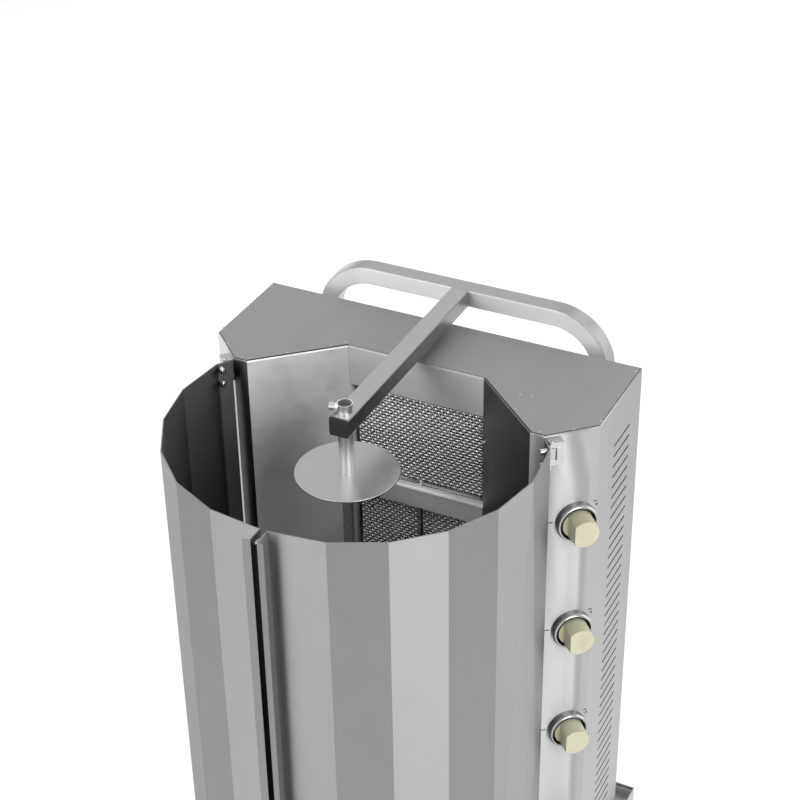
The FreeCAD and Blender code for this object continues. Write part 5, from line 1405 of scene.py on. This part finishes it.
@dataclass
class Base:
    """The base box with its drip tray, grease drawer, switch and feet.

    A row of skins holds a solid, its finish and the width of its broken edges.
    """

    skins: tuple[tuple[str, Finish, float], ...] = (
        ("base_box", BASE_STEEL, 0.0),
        ("drip_tray", TRAY_STEEL, 0.0),
        ("drawer_runners", BASE_STEEL, 0.0),
        ("grease_drawer", BASE_STEEL, 0.0),
        ("drawer_handle", HANDLE_STEEL, 0.0004),
        ("feet", RUBBER, 0.0008),
        ("switch_housing", BLACK, 0.0006),
        ("rocker_switch", BLACK, 0.0005),
        ("cable_gland", BLACK, 0.0004),
    )

    def build(self) -> None:
        """Dress the base."""
        for node, finish, edge in self.skins:
            Maker.skin(node, finish, edge=edge)


# Studio


@dataclass
class Studio:
    """Pale floor, white surroundings, soft lamps and the camera."""

    azimuth: float = math.radians(26.65)
    elevation: float = math.radians(32.64)
    roll: float = math.radians(-1.0138)
    place: Point = (1.0094, -1.9080, 2.3718)
    lens: float = 85.03
    sensor: float = 36.0
    clip: tuple[float, float] = (0.05, 60.0)
    ambient: float = 0.50
    floor_size: float = 14.0
    lamps: tuple[tuple[str, Point, float, float, float], ...] = (
        ("key", (3.2, -2.1, 1.9), 2.0, 3.8, 80.0),
        ("fill", (-1.5, -3.7, 1.7), 2.4, 3.4, 70.0),
        ("left", (-3.6, 1.5, 0.9), 1.6, 1.8, 20.0),
        ("right", (3.4, 1.9, 1.3), 1.8, 2.6, 30.0),
    )
    aim: Point = (0.0, 0.0, 0.55)

    def camera(self) -> None:
        """Set the camera where the product is seen from above its right front corner."""
        back = Vector((math.sin(self.azimuth) * math.cos(self.elevation),
                       -math.cos(self.azimuth) * math.cos(self.elevation), math.sin(self.elevation)))
        level = Vector((math.cos(self.azimuth), math.sin(self.azimuth), 0.0))
        rise = back.cross(level)
        right = level * math.cos(self.roll) + rise * math.sin(self.roll)
        up = rise * math.cos(self.roll) - level * math.sin(self.roll)
        lens = bpy.data.cameras.new("camera")
        lens.lens = self.lens
        lens.sensor_width = self.sensor
        lens.clip_start, lens.clip_end = self.clip
        eye = link("camera", lens)
        turn = Matrix((right, up, back)).transposed().to_4x4()
        eye.matrix_world = Matrix.Translation(Vector(self.place)) @ turn
        bpy.context.scene.camera = eye

    def light(self) -> None:
        """Hang the soft lamps and fill the surroundings with white."""
        for name, place, width, height, power in self.lamps:
            lamp = bpy.data.lights.new(name, "AREA")
            lamp.shape = "RECTANGLE"
            lamp.size = width
            lamp.size_y = height
            lamp.energy = power
            turn = (Vector(place) - Vector(self.aim)).to_track_quat("Z", "Y").to_matrix().to_4x4()
            link(name, lamp).matrix_world = Matrix.Translation(Vector(place)) @ turn
        world = bpy.data.worlds.new("surroundings")
        bpy.context.scene.world = world
        world.use_nodes = True
        shader = Shader(world.node_tree)
        sky = next(node for node in world.node_tree.nodes if node.type == "BACKGROUND")
        shader.feed(shader.spread(seen_rays(shader), self.ambient, 1.0), sky.inputs["Strength"])
        shader.feed(grey(1.0), sky.inputs["Color"])

    def floor(self) -> None:
        """Lay the floor."""
        shape = bmesh.new()
        bmesh.ops.create_grid(shape, x_segments=8, y_segments=8, size=self.floor_size)
        mesh = Maker.to_mesh("floor", shape)
        mesh.materials.append(FLOOR_PAPER.material())
        floor = link("floor", mesh)

    def build(self) -> None:
        """Set up the studio."""
        self.camera()
        self.light()
        self.floor()
        bpy.context.scene.view_settings.view_transform = "Standard"


def main() -> None:
    """Build and dress every sub-assembly, then the studio."""
    logging.basicConfig(level=logging.INFO, format="%(message)s")
    for part in (Base(), Housing(), BurnerColumn(), SpitDrive(), Doors(), GasControls(), FrameTube(),
                 Studio()):
        part.build()
        LOG.info("%s done", type(part).__name__)


if __name__ == "__main__":
    main()
